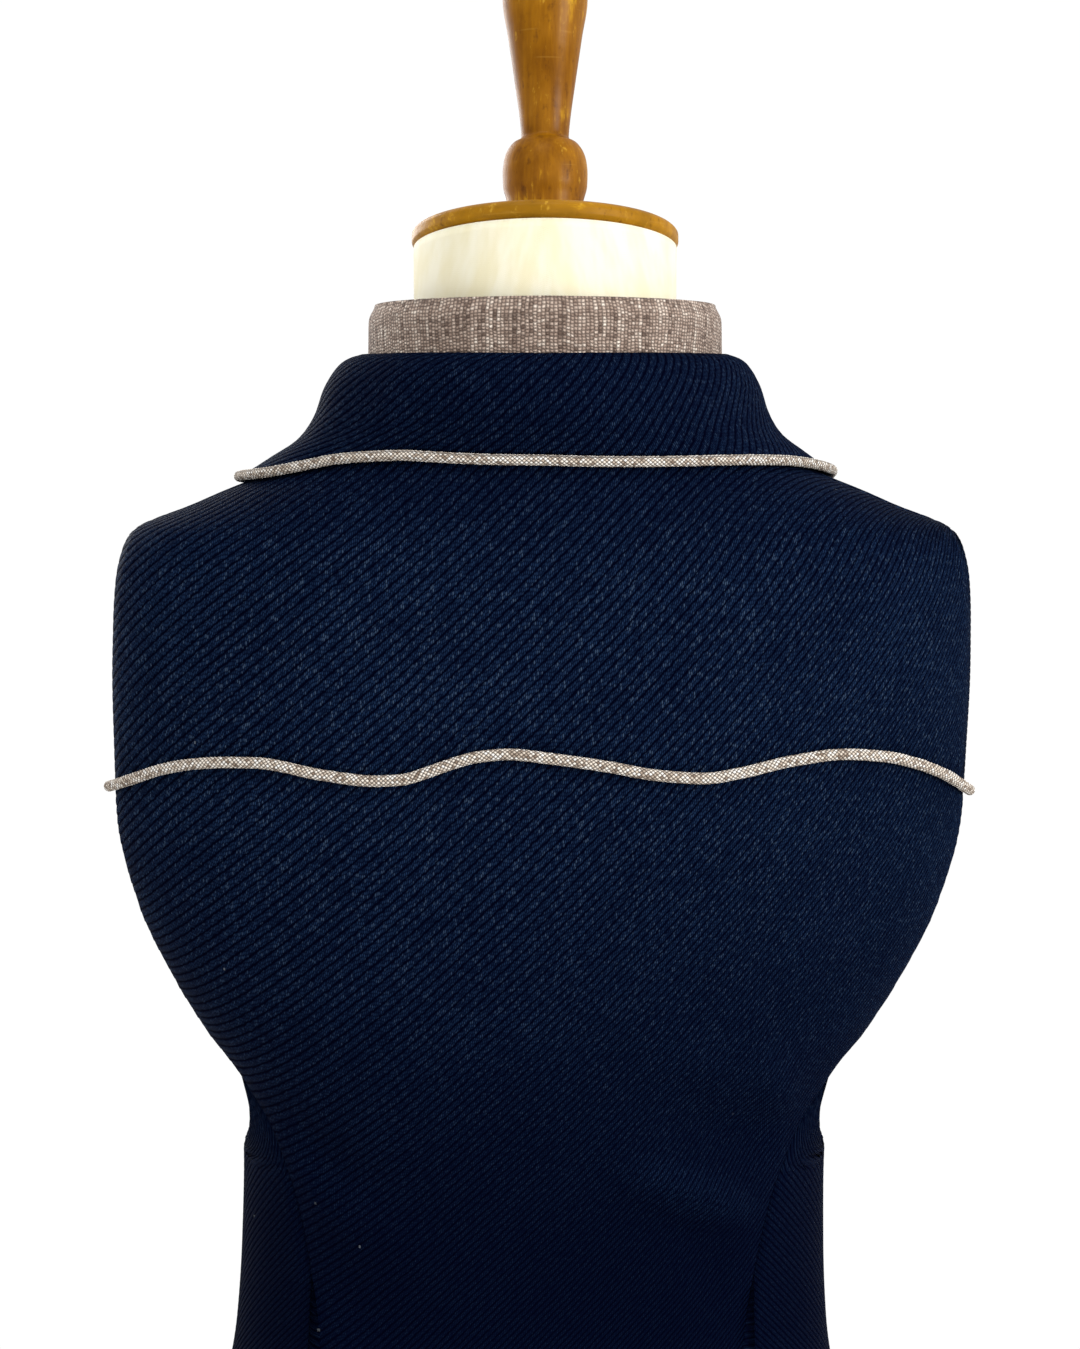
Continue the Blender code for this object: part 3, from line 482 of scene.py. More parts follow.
def fall_point(angle, way):
    """Points on the outside of the turned-down collar, from its fold to its edge."""
    angle, way = np.broadcast_arrays(np.asarray(angle, float), np.asarray(way, float))
    near, side = folded_side(angle)
    fold = fold_point(near)
    edge_angle = read(FALL_EDGE, "round", near)
    edge_z = np.where(side > 0.0, read(FALL_EDGE, "left", near), read(FALL_EDGE, "right", near))
    edge = body_point(edge_angle, edge_z) + body_normal(edge_angle, edge_z) * COLLAR_CLEAR
    reach = read(FALL_SHAPE, "reach", way)
    drop = read(FALL_SHAPE, "drop", way)
    swell = read(FALL_SHAPE, "bulge", way) * read(FALL_EDGE, "bulge", near)
    turn = np.radians(near)
    point = np.stack([
        mix(fold[..., 0], edge[..., 0], reach) + np.cos(turn) * swell,
        mix(fold[..., 1], edge[..., 1], reach) + np.sin(turn) * swell,
        mix(fold[..., 2], edge[..., 2], drop),
    ], axis=-1)
    off = held_off(point, COLLAR_CLEAR)
    return on_side(np.where((way > 0.0)[..., None], off, point), side)


class Reading:
    """What a node gives at each point, open to plain sums."""

    def __init__(self, nodes, socket):
        self.nodes = nodes
        self.socket = socket

    def __add__(self, other):
        return self.nodes.sum("ADD", self, other)

    def __sub__(self, other):
        return self.nodes.sum("SUBTRACT", self, other)

    def __rsub__(self, other):
        return self.nodes.sum("SUBTRACT", other, self)

    def __mul__(self, other):
        return self.nodes.sum("MULTIPLY", self, other)

    def __truediv__(self, other):
        return self.nodes.sum("DIVIDE", self, other)

    def __pow__(self, other):
        return self.nodes.sum("POWER", self, other)

    __radd__ = __add__
    __rmul__ = __mul__


class Nodes:
    """Nodes of one tree, each made by one call."""

    def __init__(self, tree):
        self.tree = tree

    def node(self, kind, settings=None, values=None, output=0):
        made = self.tree.nodes.new(kind)
        for key, value in (settings or {}).items():
            if key == "stops":
                self.set_stops(made.color_ramp, value)
            else:
                setattr(made, key, value)
        for key, value in (values or {}).items():
            if isinstance(value, Reading):
                self.tree.links.new(value.socket, made.inputs[key])
            else:
                made.inputs[key].default_value = value
        return Reading(self, made.outputs[output])

    def set_stops(self, ramp, stops):
        while len(ramp.elements) < len(stops):
            ramp.elements.new(1.0)
        for element, (place, colour) in zip(ramp.elements, stops):
            element.position = place
            element.color = (*colour, 1.0)

    def sum(self, operation, *terms):
        return self.node("ShaderNodeMath", {"operation": operation}, dict(enumerate(terms)))

    def fraction(self, value):
        return self.sum("FRACT", value)

    def whole(self, value):
        return self.sum("FLOOR", value)

    def arch(self, value, power):
        """0 at whole numbers and 1 half way between, flatter on top for a higher power."""
        return 1.0 - self.sum("ABSOLUTE", self.fraction(value) * 2.0 - 1.0) ** power

    def between(self, value, low, high):
        """0 below low and 1 above high, on a smooth step."""
        return self.node(
            "ShaderNodeMapRange",
            {"interpolation_type": "SMOOTHSTEP"},
            {"Value": value, "From Min": low, "From Max": high},
        )

    def chance(self, x, y):
        """A random number from 0 to 1 for each pair of whole numbers."""
        return self.node(
            "ShaderNodeTexWhiteNoise", {"noise_dimensions": "2D"}, {"Vector": self.joined(x, y)}
        )

    def stored(self, name):
        """Number that the mesh keeps under a name."""
        kind = {"data_type": "FLOAT"}
        return self.node("GeometryNodeInputNamedAttribute", kind, {"Name": name})

    def keep(self, geometry, name, value, data_type="FLOAT", domain="POINT"):
        return self.node(
            "GeometryNodeStoreNamedAttribute", {"data_type": data_type, "domain": domain},
            {"Geometry": geometry, "Name": name, "Value": value},
        )

    def raised(self, geometry, amount):
        """The geometry with its points moved along their normals."""
        normal = self.node("GeometryNodeInputNormal")
        values = {0: normal, "Scale": amount}
        offset = self.node("ShaderNodeVectorMath", {"operation": "SCALE"}, values)
        values = {"Geometry": geometry, "Offset": offset}
        return self.node("GeometryNodeSetPosition", None, values)

    def joined(self, x, y, z=0.0):
        return self.node("ShaderNodeCombineXYZ", None, {0: x, 1: y, 2: z})

    def parts(self, vector):
        split = self.node("ShaderNodeSeparateXYZ", None, {0: vector})
        return [Reading(self, socket) for socket in split.socket.node.outputs]


class Finish(Nodes):
    """A material under construction, which starts from its Principled shader."""

    def __init__(self, name, constants):
        self.material = bpy.data.materials.new(name)
        self.material.use_nodes = True
        super().__init__(self.material.node_tree)
        self.surface = self.tree.nodes["Principled BSDF"]
        for key, value in constants.items():
            self.surface.inputs[key].default_value = value

    def paint(self, **readings):
        """Feeds the surface's sockets, whose names are written with underscores."""
        for key, reading in readings.items():
            self.tree.links.new(reading.socket, self.surface.inputs[key.replace("_", " ")])

    def uv(self):
        """Metres across and along the cloth."""
        return self.parts(self.node("ShaderNodeUVMap", {"uv_map": "cloth"}))[:2]

    def place(self):
        return self.node("ShaderNodeTexCoord", output=3)

    def noise(self, vector, scale, detail=3.0, roughness=0.55):
        values = {"Vector": vector, "Scale": scale, "Detail": detail, "Roughness": roughness}
        return self.node("ShaderNodeTexNoise", None, values)

    def stretched(self, vector, x, y, z):
        values = {0: vector, 1: (x, y, z)}
        return self.node("ShaderNodeVectorMath", {"operation": "MULTIPLY"}, values)

    def blend(self, share, low, high):
        """Colour between two others."""
        settings = {"data_type": "RGBA"}
        low, high = (c if isinstance(c, Reading) else (*c, 1.0) for c in (low, high))
        return self.node("ShaderNodeMix", settings, {0: share, 6: low, 7: high}, output=2)

    def ramp(self, value, stops):
        return self.node("ShaderNodeValToRGB", {"stops": stops}, {0: value})

    def bump(self, height, distance, strength=1.0):
        values = {"Height": height, "Distance": distance, "Strength": strength}
        return self.node("ShaderNodeBump", None, values)


def fold_patch(finish, fold):
    """How near a place on the back lies to one of its folds, from 0 to 1."""
    x, y, z = finish.parts(finish.place())
    turn = math.radians(fold.turn)
    x, z = x - fold.x, z - fold.z
    length = (x * math.cos(turn) + z * math.sin(turn)) / fold.length
    width = (z * math.cos(turn) - x * math.sin(turn)) / fold.width
    near = finish.between(length * length + width * width, 1.5, 0.0)
    return near * finish.between(y, 0.0, 0.02)


def navy_ribs():
    """Deep navy cloth with diagonal ribs of short upright threads, a few of them lighter."""
    finish = Finish("navy_ribs", {"Specular IOR Level": 0.008})
    across, along = finish.uv()
    rib = finish.node("ShaderNodeAttribute", {"attribute_name": "rib"}, output=2)
    place = finish.joined(across, along)
    fray = finish.noise(place, 420.0, 2.0) - 0.5
    crest = finish.between(finish.arch(rib + fray * 0.45, 2.0), 0.12, 0.85)
    thread = across / THREAD + along * THREAD_LEAN + fray * 0.5
    strand = finish.whole(thread)
    shift = finish.chance(strand, 0.5)
    length = rib * 2.6 + shift
    dash = finish.whole(length)
    luck = finish.chance(strand, dash)
    stitch = finish.arch(thread, 1.15) * finish.arch(length, 2.2)
    wide = finish.noise(place, 20.0, 3.0)
    # Painted shade: the threads are drawn darker lower down the cloth, and darker again high up near
    # the collar
    painted_shade_by_height = finish.between(along, 0.33, 0.60) * 0.80 + 0.20
    painted_shade_by_height = painted_shade_by_height * (1.0 - finish.between(along, 0.655, 0.715) * 0.42)
    # Painted highlight: the threads on a ridge of the back are drawn lighter
    wear_and_painted_highlight = fold_patch(finish, PAINTED_HIGHLIGHT_FOLD)
    yarn = stitch * (0.35 + luck * 1.0) * (0.60 + wide * 0.8) * (painted_shade_by_height + wear_and_painted_highlight * 0.30)
    lit = finish.blend(yarn, (0.0002, 0.0010, 0.0080), (0.0110, 0.0280, 0.0720))
    # Painted shade: the grooves between the ribs are drawn near black, the crests in the lit colour
    colour = finish.blend(crest, (0.0001, 0.0004, 0.0048), lit)
    fleck = finish.between(luck, 0.80, 0.99) * stitch * crest * painted_shade_by_height * painted_shade_by_height
    colour = finish.blend(fleck * 0.62, colour, (0.060, 0.092, 0.140))
    lint_cell = finish.chance(finish.whole(across / LINT[0]), finish.whole(along / LINT[1]))
    lint = finish.between(lint_cell, 0.99993, 0.99997) * 0.5
    colour = finish.blend(lint, colour, (0.16, 0.18, 0.20))
    finish.paint(
        Base_Color=colour,
        Roughness=0.85 - crest * 0.20,
        Normal=finish.bump(stitch * (0.5 + luck * 0.5) * crest, 0.00040, 0.9),
    )
    return finish.material


def taupe_weave():
    """Coarse plain weave of mottled taupe yarns, whose upright ones stand out as beads."""
    finish = Finish("taupe_weave", {"Specular IOR Level": 0.15, "Sheen Weight": 0.10})
    across, along = finish.uv()
    place = finish.joined(across, along)
    drift = finish.noise(place, 90.0, 3.0) - 0.5
    shake = finish.noise(place, 700.0, 2.0) - 0.5
    warp = across / WARP + drift * 1.1 + shake * 0.35
    column = finish.whole(warp)
    weft = along / WEFT + drift * 1.3 + shake * 0.45 + finish.chance(column, 1.5) * 0.6
    row = finish.whole(weft)
    luck = finish.chance(column, row)
    bead = finish.arch(warp, 1.7) * finish.arch(weft, 1.9)
    tone = luck * 0.30 + finish.chance(column, 3.5) * 0.20 + finish.chance(7.5, row) * 0.08
    tone = tone + finish.noise(place, 1100.0, 3.0) * 0.42
    yarn = finish.ramp(tone, (
        (0.26, (0.110, 0.072, 0.054)),
        (0.40, (0.330, 0.240, 0.190)),
        (0.58, (0.520, 0.405, 0.330)),
        (0.76, (0.860, 0.750, 0.640)),
    ))
    slub = finish.noise(finish.joined(across * 45.0, along * 750.0), 1.0, 3.0)
    yarn = finish.blend(finish.between(slub, 0.56, 0.72) * 0.55, yarn, (0.095, 0.065, 0.052))
    colour = finish.blend(0.15 + bead * 1.0, (0.060, 0.041, 0.033), yarn)
    finish.paint(
        Base_Color=colour,
        Roughness=0.95 - bead * 0.15,
        Normal=finish.bump(bead * (0.6 + luck * 0.4), 0.0007, 0.9),
    )
    return finish.material


def bias_weave():
    """Light taupe piping cut on the bias, so that its yarns cross as diamonds."""
    finish = Finish("bias_weave", {"Specular IOR Level": 0.15, "Sheen Weight": 0.10})
    along, around = finish.uv()
    shake = finish.noise(finish.joined(along, around * 0.0157), 900.0, 2.0) - 0.5
    first = along / BIAS_CELL + around * BIAS_CELLS_ROUND + shake * 0.3
    second = along / BIAS_CELL - around * BIAS_CELLS_ROUND + shake * 0.3
    column, row = finish.whole(first), finish.whole(second)
    luck = finish.chance(column, row)
    yarn_luck = finish.chance(column, 0.5) * 0.5 + finish.chance(0.5, row) * 0.5
    diamond = finish.arch(first, 1.8) * finish.arch(second, 1.8)
    tone = luck * 0.62 + yarn_luck * 0.18 + (shake + 0.5) * 0.20
    yarn = finish.ramp(tone, (
        (0.20, (0.230, 0.165, 0.120)),
        (0.36, (0.620, 0.520, 0.420)),
        (0.60, (0.840, 0.760, 0.660)),
        (0.80, (0.960, 0.930, 0.880)),
    ))
    colour = finish.blend(diamond * 1.35, (0.055, 0.038, 0.028), yarn)
    finish.paint(
        Base_Color=colour,
        Roughness=0.95 - diamond * 0.15,
        Normal=finish.bump(diamond, 0.0005, 0.9),
    )
    return finish.material


def cream_jersey():
    """Cream knit cover of the form, with fine upright wales."""
    finish = Finish("cream_jersey", {"Roughness": 0.80, "Sheen Weight": 0.20})
    across, along = finish.uv()
    wale = finish.arch(across / WALE, 2.0)
    course = finish.arch(along / COURSE, 2.0)
    loops = wale * (0.6 + course * 0.4)
    wide = finish.noise(finish.joined(across, along), 28.0, 3.0)
    pale = finish.between(wide, 0.38, 0.62)
    colour = finish.blend(pale, (0.830, 0.765, 0.520), (0.885, 0.845, 0.660))
    colour = finish.blend(loops, finish.blend(0.25, colour, (0.55, 0.48, 0.34)), colour)
    finish.paint(Base_Color=colour, Normal=finish.bump(loops, 0.00020, 0.7))
    return finish.material


def stained_wood(name, grain, wear):
    """Honey-brown stained wood under varnish thinned by wear; grain stretches the figure along an
    axis.
    """
    finish = Finish(name, {"Coat Roughness": 0.25, "Specular IOR Level": 0.06})
    place = finish.place()
    long_place = finish.stretched(place, *grain)
    figure = finish.noise(long_place, 60.0, 5.0, 0.60)
    streak = finish.noise(long_place, 330.0, 3.0, 0.65)
    patch = finish.noise(place, 34.0, 4.0, 0.60)
    scratch = finish.noise(finish.stretched(place, 25.0, 25.0, 420.0), 1.0, 2.0)
    tone = figure * 0.50 + streak * 0.20 + patch * 0.30
    colour = finish.ramp(tone, (
        (0.32, (0.070, 0.018, 0.0010)),
        (0.44, (0.165, 0.056, 0.0006)),
        (0.55, (0.260, 0.100, 0.0010)),
        (0.70, (0.430, 0.205, 0.0050)),
    ))
    # Patches of real wear, where the varnish is thinner and lighter
    wear_and_painted_highlight = finish.between(patch * 0.6 + streak * 0.4, 0.56, 0.66)
    colour = finish.blend(wear_and_painted_highlight * 0.45 + wear, colour, (0.62, 0.34, 0.012))
    scuff = finish.noise(finish.stretched(place, 1.0, 1.0, 0.5), 210.0, 4.0, 0.7)
    colour = finish.blend(finish.between(scuff, 0.60, 0.72) * 0.45, colour, (0.56, 0.32, 0.03))
    colour = finish.blend(finish.between(scuff, 0.44, 0.28) * 0.60, colour, (0.075, 0.022, 0.002))
    colour = finish.blend(finish.between(scratch, 0.68, 0.74) * 0.12, colour, (0.50, 0.28, 0.05))
    finish.paint(
        Base_Color=colour,
        Roughness=0.34 + patch * 0.22,
        Coat_Weight=finish.between(patch, 0.38, 0.62) * 0.12,
        Normal=finish.bump(streak * 0.6 + patch * 0.4, 0.0006, 0.35),
    )
    return finish.material


def dark_horn():
    """Near-black polished horn with soft brown streaks."""
    finish = Finish("dark_horn", {"Roughness": 0.25, "Coat Weight": 0.3, "Coat Roughness": 0.1})
    streaks = finish.noise(finish.stretched(finish.place(), 1.0, 1.0, 0.25), 420.0, 3.0)
    brown = finish.between(streaks, 0.45, 0.70)
    colour = finish.blend(brown, (0.008, 0.008, 0.011), (0.045, 0.032, 0.026))
    finish.paint(Base_Color=colour, Roughness=0.20 + streaks * 0.20)
    return finish.material


def pale_floor():
    finish = Finish("pale_floor", {"Roughness": 0.7})
    speck = finish.noise(finish.place(), 14.0, 4.0)
    finish.paint(Base_Color=finish.blend(speck, (0.46, 0.46, 0.45), (0.54, 0.54, 0.53)))
    return finish.material


# Points in rows and columns; a kept row, if any, keeps its place among the ribs' rows
Grid = namedtuple("Grid", "points normals across along rib kept_row", defaults=(None,))


def grid_lengths(points):
    """Metres along each row from its first column, and up each column from its first row."""
    return so_far(lengths_between(points, 1), 1), so_far(lengths_between(points))


def quads_between(ids):
    """Faces between the rows and columns of a grid of vertex numbers."""
    return np.stack([ids[:-1, :-1], ids[:-1, 1:], ids[1:, 1:], ids[1:, :-1]], axis=-1).reshape(-1, 4)


def grid_normals(points):
    """Unit normals of a grid whose columns go round the body and whose rows go up."""
    return unit(np.cross(np.gradient(points, axis=1), np.gradient(points, axis=0)))


def fold_heights(folds, x, z):
    """Height of the cloth's soft folds at places seen from behind or from the front."""
    total = np.zeros_like(x)
    for fold in folds:
        turn = math.radians(fold.turn)
        length = (x - fold.x) * math.cos(turn) + (z - fold.z) * math.sin(turn)
        width = (z - fold.z) * math.cos(turn) - (x - fold.x) * math.sin(turn)
        total += fold.height * np.exp(-(length / fold.length) ** 2 - (width / fold.width) ** 2)
    return total


def edge_roll(distance, depth, reach=0.0028):
    """How far cloth turns down towards an edge or a seam."""
    return -depth * np.exp(-(distance / reach) ** 2)


def rib_number(across, along):
    """Number of the rib that passes a place of the cloth, and how far into it the place is."""
    rise = RIB_SLOPE * across + RIB_BEND * across * across / 2.0
    levels = np.linspace(RIB_PITCH[0].z, RIB_PITCH[-1].z, 2000)
    density = 1.0 / read(RIB_PITCH, "pitch", levels)
    steps = (density[1:] + density[:-1]) / 2.0 * np.diff(levels)
    return np.interp(along - rise, levels, so_far(steps))


def grid_values(grid):
    """Place, normal, cloth coordinates and rib number of each point, in nine columns."""
    cloth = np.stack([grid.across, grid.along, grid.rib], axis=-1)
    return np.concatenate([grid.points, grid.normals, cloth], axis=-1)


def laid_on_ribs(grid):
    """Vertices and faces of a grid whose rows follow the ribs and end at the panel's edges."""
    rows, columns = grid.rib.shape
    lowest, highest = math.floor(grid.rib.min()) - 1, math.ceil(grid.rib.max()) + 1
    levels = np.array([turn + share for turn in range(lowest, highest) for share in RIB_STEPS])
    values = grid_values(grid)
    place = np.arange(rows)
    vertices, ids = [], np.zeros((len(levels), columns), int)
    count = 0
    for column in range(columns):
        ribs = np.maximum.accumulate(grid.rib[:, column] + place * LEAST_RISE)
        inside = (levels > ribs[0] + EDGE_SNAP) & (levels < ribs[-1] - EDGE_SNAP)
        spots = np.concatenate([[0.0], np.interp(levels[inside], ribs, place), [rows - 1.0]])
        if grid.kept_row is not None:
            spots[np.searchsorted(spots, grid.kept_row, side="right") - 1] = grid.kept_row
        vertices.append(
            np.stack([np.interp(spots, place, values[:, column, i]) for i in range(9)], axis=-1)
        )
        order = np.cumsum(inside)
        order[levels >= ribs[-1] - EDGE_SNAP] = inside.sum() + 1
        ids[:, column] = count + order
        count += len(spots)
    return np.concatenate(vertices), quads_between(ids)


def welded(parts):
    """Vertices and faces of several grids, joined where they touch, without empty faces."""
    vertices = np.concatenate([part[0] for part in parts])
    offsets = np.cumsum([0] + [len(part[0]) for part in parts[:-1]])
    quads = np.concatenate([part[1] + offset for part, offset in zip(parts, offsets)])
    _, first, same = np.unique(
        np.round(vertices[:, :3], 6), axis=0, return_index=True, return_inverse=True
    )
    quads = same.reshape(-1)[quads]
    faces = []
    for quad in quads.tolist():
        corners = [corner for i, corner in enumerate(quad) if corner != quad[i - 1]]
        if len(set(corners)) == len(corners) and len(corners) > 2:
            faces.append(corners)
    return vertices[first], faces


def in_scene(name, data):
    item = bpy.data.objects.new(name, data)
    bpy.context.scene.collection.objects.link(item)
    return item


def map_cloth(data, places):
    """UV map in metres from each vertex's place on the cloth."""
    layer = data.uv_layers.new(name="cloth")
    corners = np.zeros(len(data.loops), np.int32)
    data.loops.foreach_get("vertex_index", corners)
    layer.data.foreach_set("uv", places[corners].astype(np.float32).ravel())


def closed_wall(name, vertices, faces):
    """Cloth object with a face, a back and a rim, its UV map in metres and its rib numbers."""
    count = len(vertices)
    inner = vertices.copy()
    inner[:, :3] -= vertices[:, 3:6] * WALL
    sides = dict.fromkeys(pair for face in faces for pair in zip(face, face[1:] + face[:1]))
    edge = [pair for pair in sides if pair[::-1] not in sides]
    rim = [(end, start, start + count, end + count) for start, end in edge]
    backs = [[corner + count for corner in reversed(face)] for face in faces]
    both = np.concatenate([vertices, inner])
    both[:, :3] = leaned(both[:, :3])
    data = bpy.data.meshes.new(name)
    data.from_pydata(both[:, :3].tolist(), [], faces + backs + rim)
    data.shade_smooth()
    map_cloth(data, both[:, 6:8])
    lift = np.concatenate([np.ones(count), np.zeros(count)])
    lift[list({corner for pair in edge for corner in pair})] = EDGE_LIFT
    for key, values in (("rib", both[:, 8]), ("lift", lift)):
        attribute = data.attributes.new(key, "FLOAT", "POINT")
        attribute.data.foreach_set("value", values.astype(np.float32))
    return in_scene(name, data)


def new_tree(name, sizes):
    """Geometry tree with named inputs for its sizes."""
    tree = bpy.data.node_groups.new(name, "GeometryNodeTree")
    tree.interface.new_socket("Geometry", in_out="INPUT", socket_type="NodeSocketGeometry")
    for key in sizes:
        tree.interface.new_socket(key, in_out="INPUT", socket_type="NodeSocketFloat")
    tree.interface.new_socket("Geometry", in_out="OUTPUT", socket_type="NodeSocketGeometry")
    nodes = Nodes(tree)
    entry = tree.nodes.new("NodeGroupInput")
    inputs = {socket.name: Reading(nodes, socket) for socket in entry.outputs if socket.name}
    return nodes, inputs


def end_tree(nodes, geometry, material):
    """Ends a tree in plain geometry with its finish."""
    smooth = nodes.node("GeometryNodeSetShadeSmooth", None, {0: geometry})
    real = nodes.node("GeometryNodeRealizeInstances", None, {0: smooth})
    finished = nodes.node("GeometryNodeSetMaterial", None, {0: real, "Material": material})
    leave = nodes.tree.nodes.new("NodeGroupOutput")
    nodes.tree.links.new(finished.socket, leave.inputs[0])


def grown(item, nodes, sizes, material):
    """The object's plain mesh after a tree has worked on it."""
    modifier = item.modifiers.new("growth", "NODES")
    modifier.node_group = nodes.tree
    for socket in nodes.tree.interface.items_tree:
        if socket.name in sizes:
            modifier[socket.identifier] = sizes[socket.name]
    item.update_tag()
    graph = bpy.context.evaluated_depsgraph_get()
    data = bpy.data.meshes.new_from_object(item.evaluated_get(graph))
    name = item.name
    bpy.data.objects.remove(item)
    data.materials.clear()
    data.materials.append(material)
    data.name = name
    return in_scene(name, data)


def raise_ribs(item, material):
    """Lifts the face of a panel into ribs."""
    nodes, inputs = new_tree("ribs_of_" + item.name, ["Rib height"])
    amount = nodes.arch(nodes.stored("rib"), 3.0) * nodes.stored("lift") * inputs["Rib height"]
    end_tree(nodes, nodes.raised(inputs["Geometry"], amount), material)
    return grown(item, nodes, {"Rib height": RIB_HEIGHT}, material)


def angle_aside(x, z):
    """Angle on the back of the point that lies this far aside, less than 90 for +X."""
    share = np.clip(np.abs(x) / read(SECTIONS, "half_width", z), 0.0, 1.0)
    angle = np.degrees(np.arccos(share ** (read(SECTIONS, "power", z) / 2.0)))
    return np.where(x >= 0.0, angle, 180.0 - angle)


def armhole_aside(z):
    """How far aside the back's armhole edge lies at a height."""
    return body_point(read(ARMHOLE, "back", z) + SEAM_TURN, z)[..., 0]


def side_aside(z):
    """How far aside the edge of the back lies below the yoke: side-back seam, then armhole."""
    seam = body_point(read(SIDE_BACK_SEAM, "angle", z) + SEAM_TURN, z)[..., 0]
    return np.where(z > SIDE_SEAM_TOP, armhole_aside(z), seam)


def yoke_heights(asides):
    """Height of the yoke seam on each upright column, which keeps its share of the width."""
    shares = asides / np.abs(asides).max()
    z = np.full_like(shares, YOKE_LEVEL)
    for _ in range(5):
        z = yoke_height(angle_aside(shares * armhole_aside(z), z))
    return z


def upright_grid(x, z, edge_distance, anchor_top):
    """Grid of a panel of the back, whose columns stand upright and so meet each rib once."""
    angles = angle_aside(x, z)
    points, normals = body_point(angles, z), body_normal(angles, z)
    across, upward = grid_lengths(points)
    row = across[-1] if anchor_top else across[0]
    w = np.broadcast_to(row - row[len(row) // 2], across.shape)
    fade = np.clip(edge_distance / FOLD_FADE, 0.0, 1.0)
    lift = fold_heights(BACK_FOLDS, points[..., 0], points[..., 2]) * smooth_step(fade)
    lift = lift + edge_roll(upward[-1:] - upward, SEAM_ROLL) + edge_roll(edge_distance, SEAM_ROLL)
    along = z[-1:] - (upward[-1:] - upward) if anchor_top else z[:1] + upward
    return Grid(points + normals * lift[..., None], normals, w, along, rib_number(w, along))


def both_sides(asides):
    """Places from the wearer's left edge over the middle to the right edge."""
    return np.concatenate([asides[::-1], -asides[1:]])


def back_yoke_grid():
    """Yoke, from its wavy seam up to the shoulder seams and the neckline."""
    half_columns, rows = 45, 120
    widest = float(armhole_aside(SHOULDER_TIP))
    asides = both_sides(np.linspace(0.0, 1.0, half_columns)) * widest
    shoulder_z = np.linspace(SHOULDER_TIP, NECK_POINT, 80)
    shoulder = body_point(read(SHOULDER_SEAM, "angle", shoulder_z) + SEAM_TURN, shoulder_z)
    turns = np.linspace(SHOULDER_SEAM[-1].angle, 90.0, 60)[1:]
    neck = body_point(turns, read(NECKLINE, "z", turns))
    top_line = np.concatenate([shoulder, neck])[::-1]
    top = np.interp(np.abs(asides), top_line[:, 0], top_line[:, 2])
    bottom = yoke_heights(asides) + SEAM_GAP / 2.0
    shares = np.linspace(0.0, 1.0, rows)[:, None] ** 0.8
    z = mix(bottom, top, shares)
    edge = armhole_aside(np.minimum(z, SHOULDER_TIP))
    x = asides / widest * edge
    from_edge = np.where(z < SHOULDER_TIP, edge - np.abs(x), 1.0)
    return upright_grid(x, z, np.minimum(from_edge, z - bottom), False)


def back_body_grid():
    """Back below the yoke, between the hem, the side-back seams and the armholes."""
    inner_columns, outer_columns, rows = 22, 50, 140
    waist_z = np.linspace(WAIST, YOKE_END, outer_columns)
    narrow = float(side_aside(WAIST))
    asides = np.concatenate([np.linspace(0.0, narrow, inner_columns), side_aside(waist_z)[1:]])
    bottom = np.concatenate([np.full(inner_columns, HEM), waist_z[1:]])
    asides, bottom = both_sides(asides), np.concatenate([bottom[::-1], bottom[1:]])
    top = yoke_heights(asides) - SEAM_GAP / 2.0
    bottom = np.minimum(bottom, top - LEAST_HEIGHT)
    z = mix(bottom, top, np.linspace(0.0, 1.0, rows)[:, None])
    edge = side_aside(z)
    x = asides * np.where(z < WAIST, edge / narrow, 1.0)
    x = np.clip(x, -edge, edge)
    aside, above = edge - np.abs(x), z - bottom + 0.0001
    distance = np.where(np.abs(asides) > narrow, aside * above / np.hypot(aside, above), aside)
    return upright_grid(x, z, np.minimum(distance, z - HEM), True)


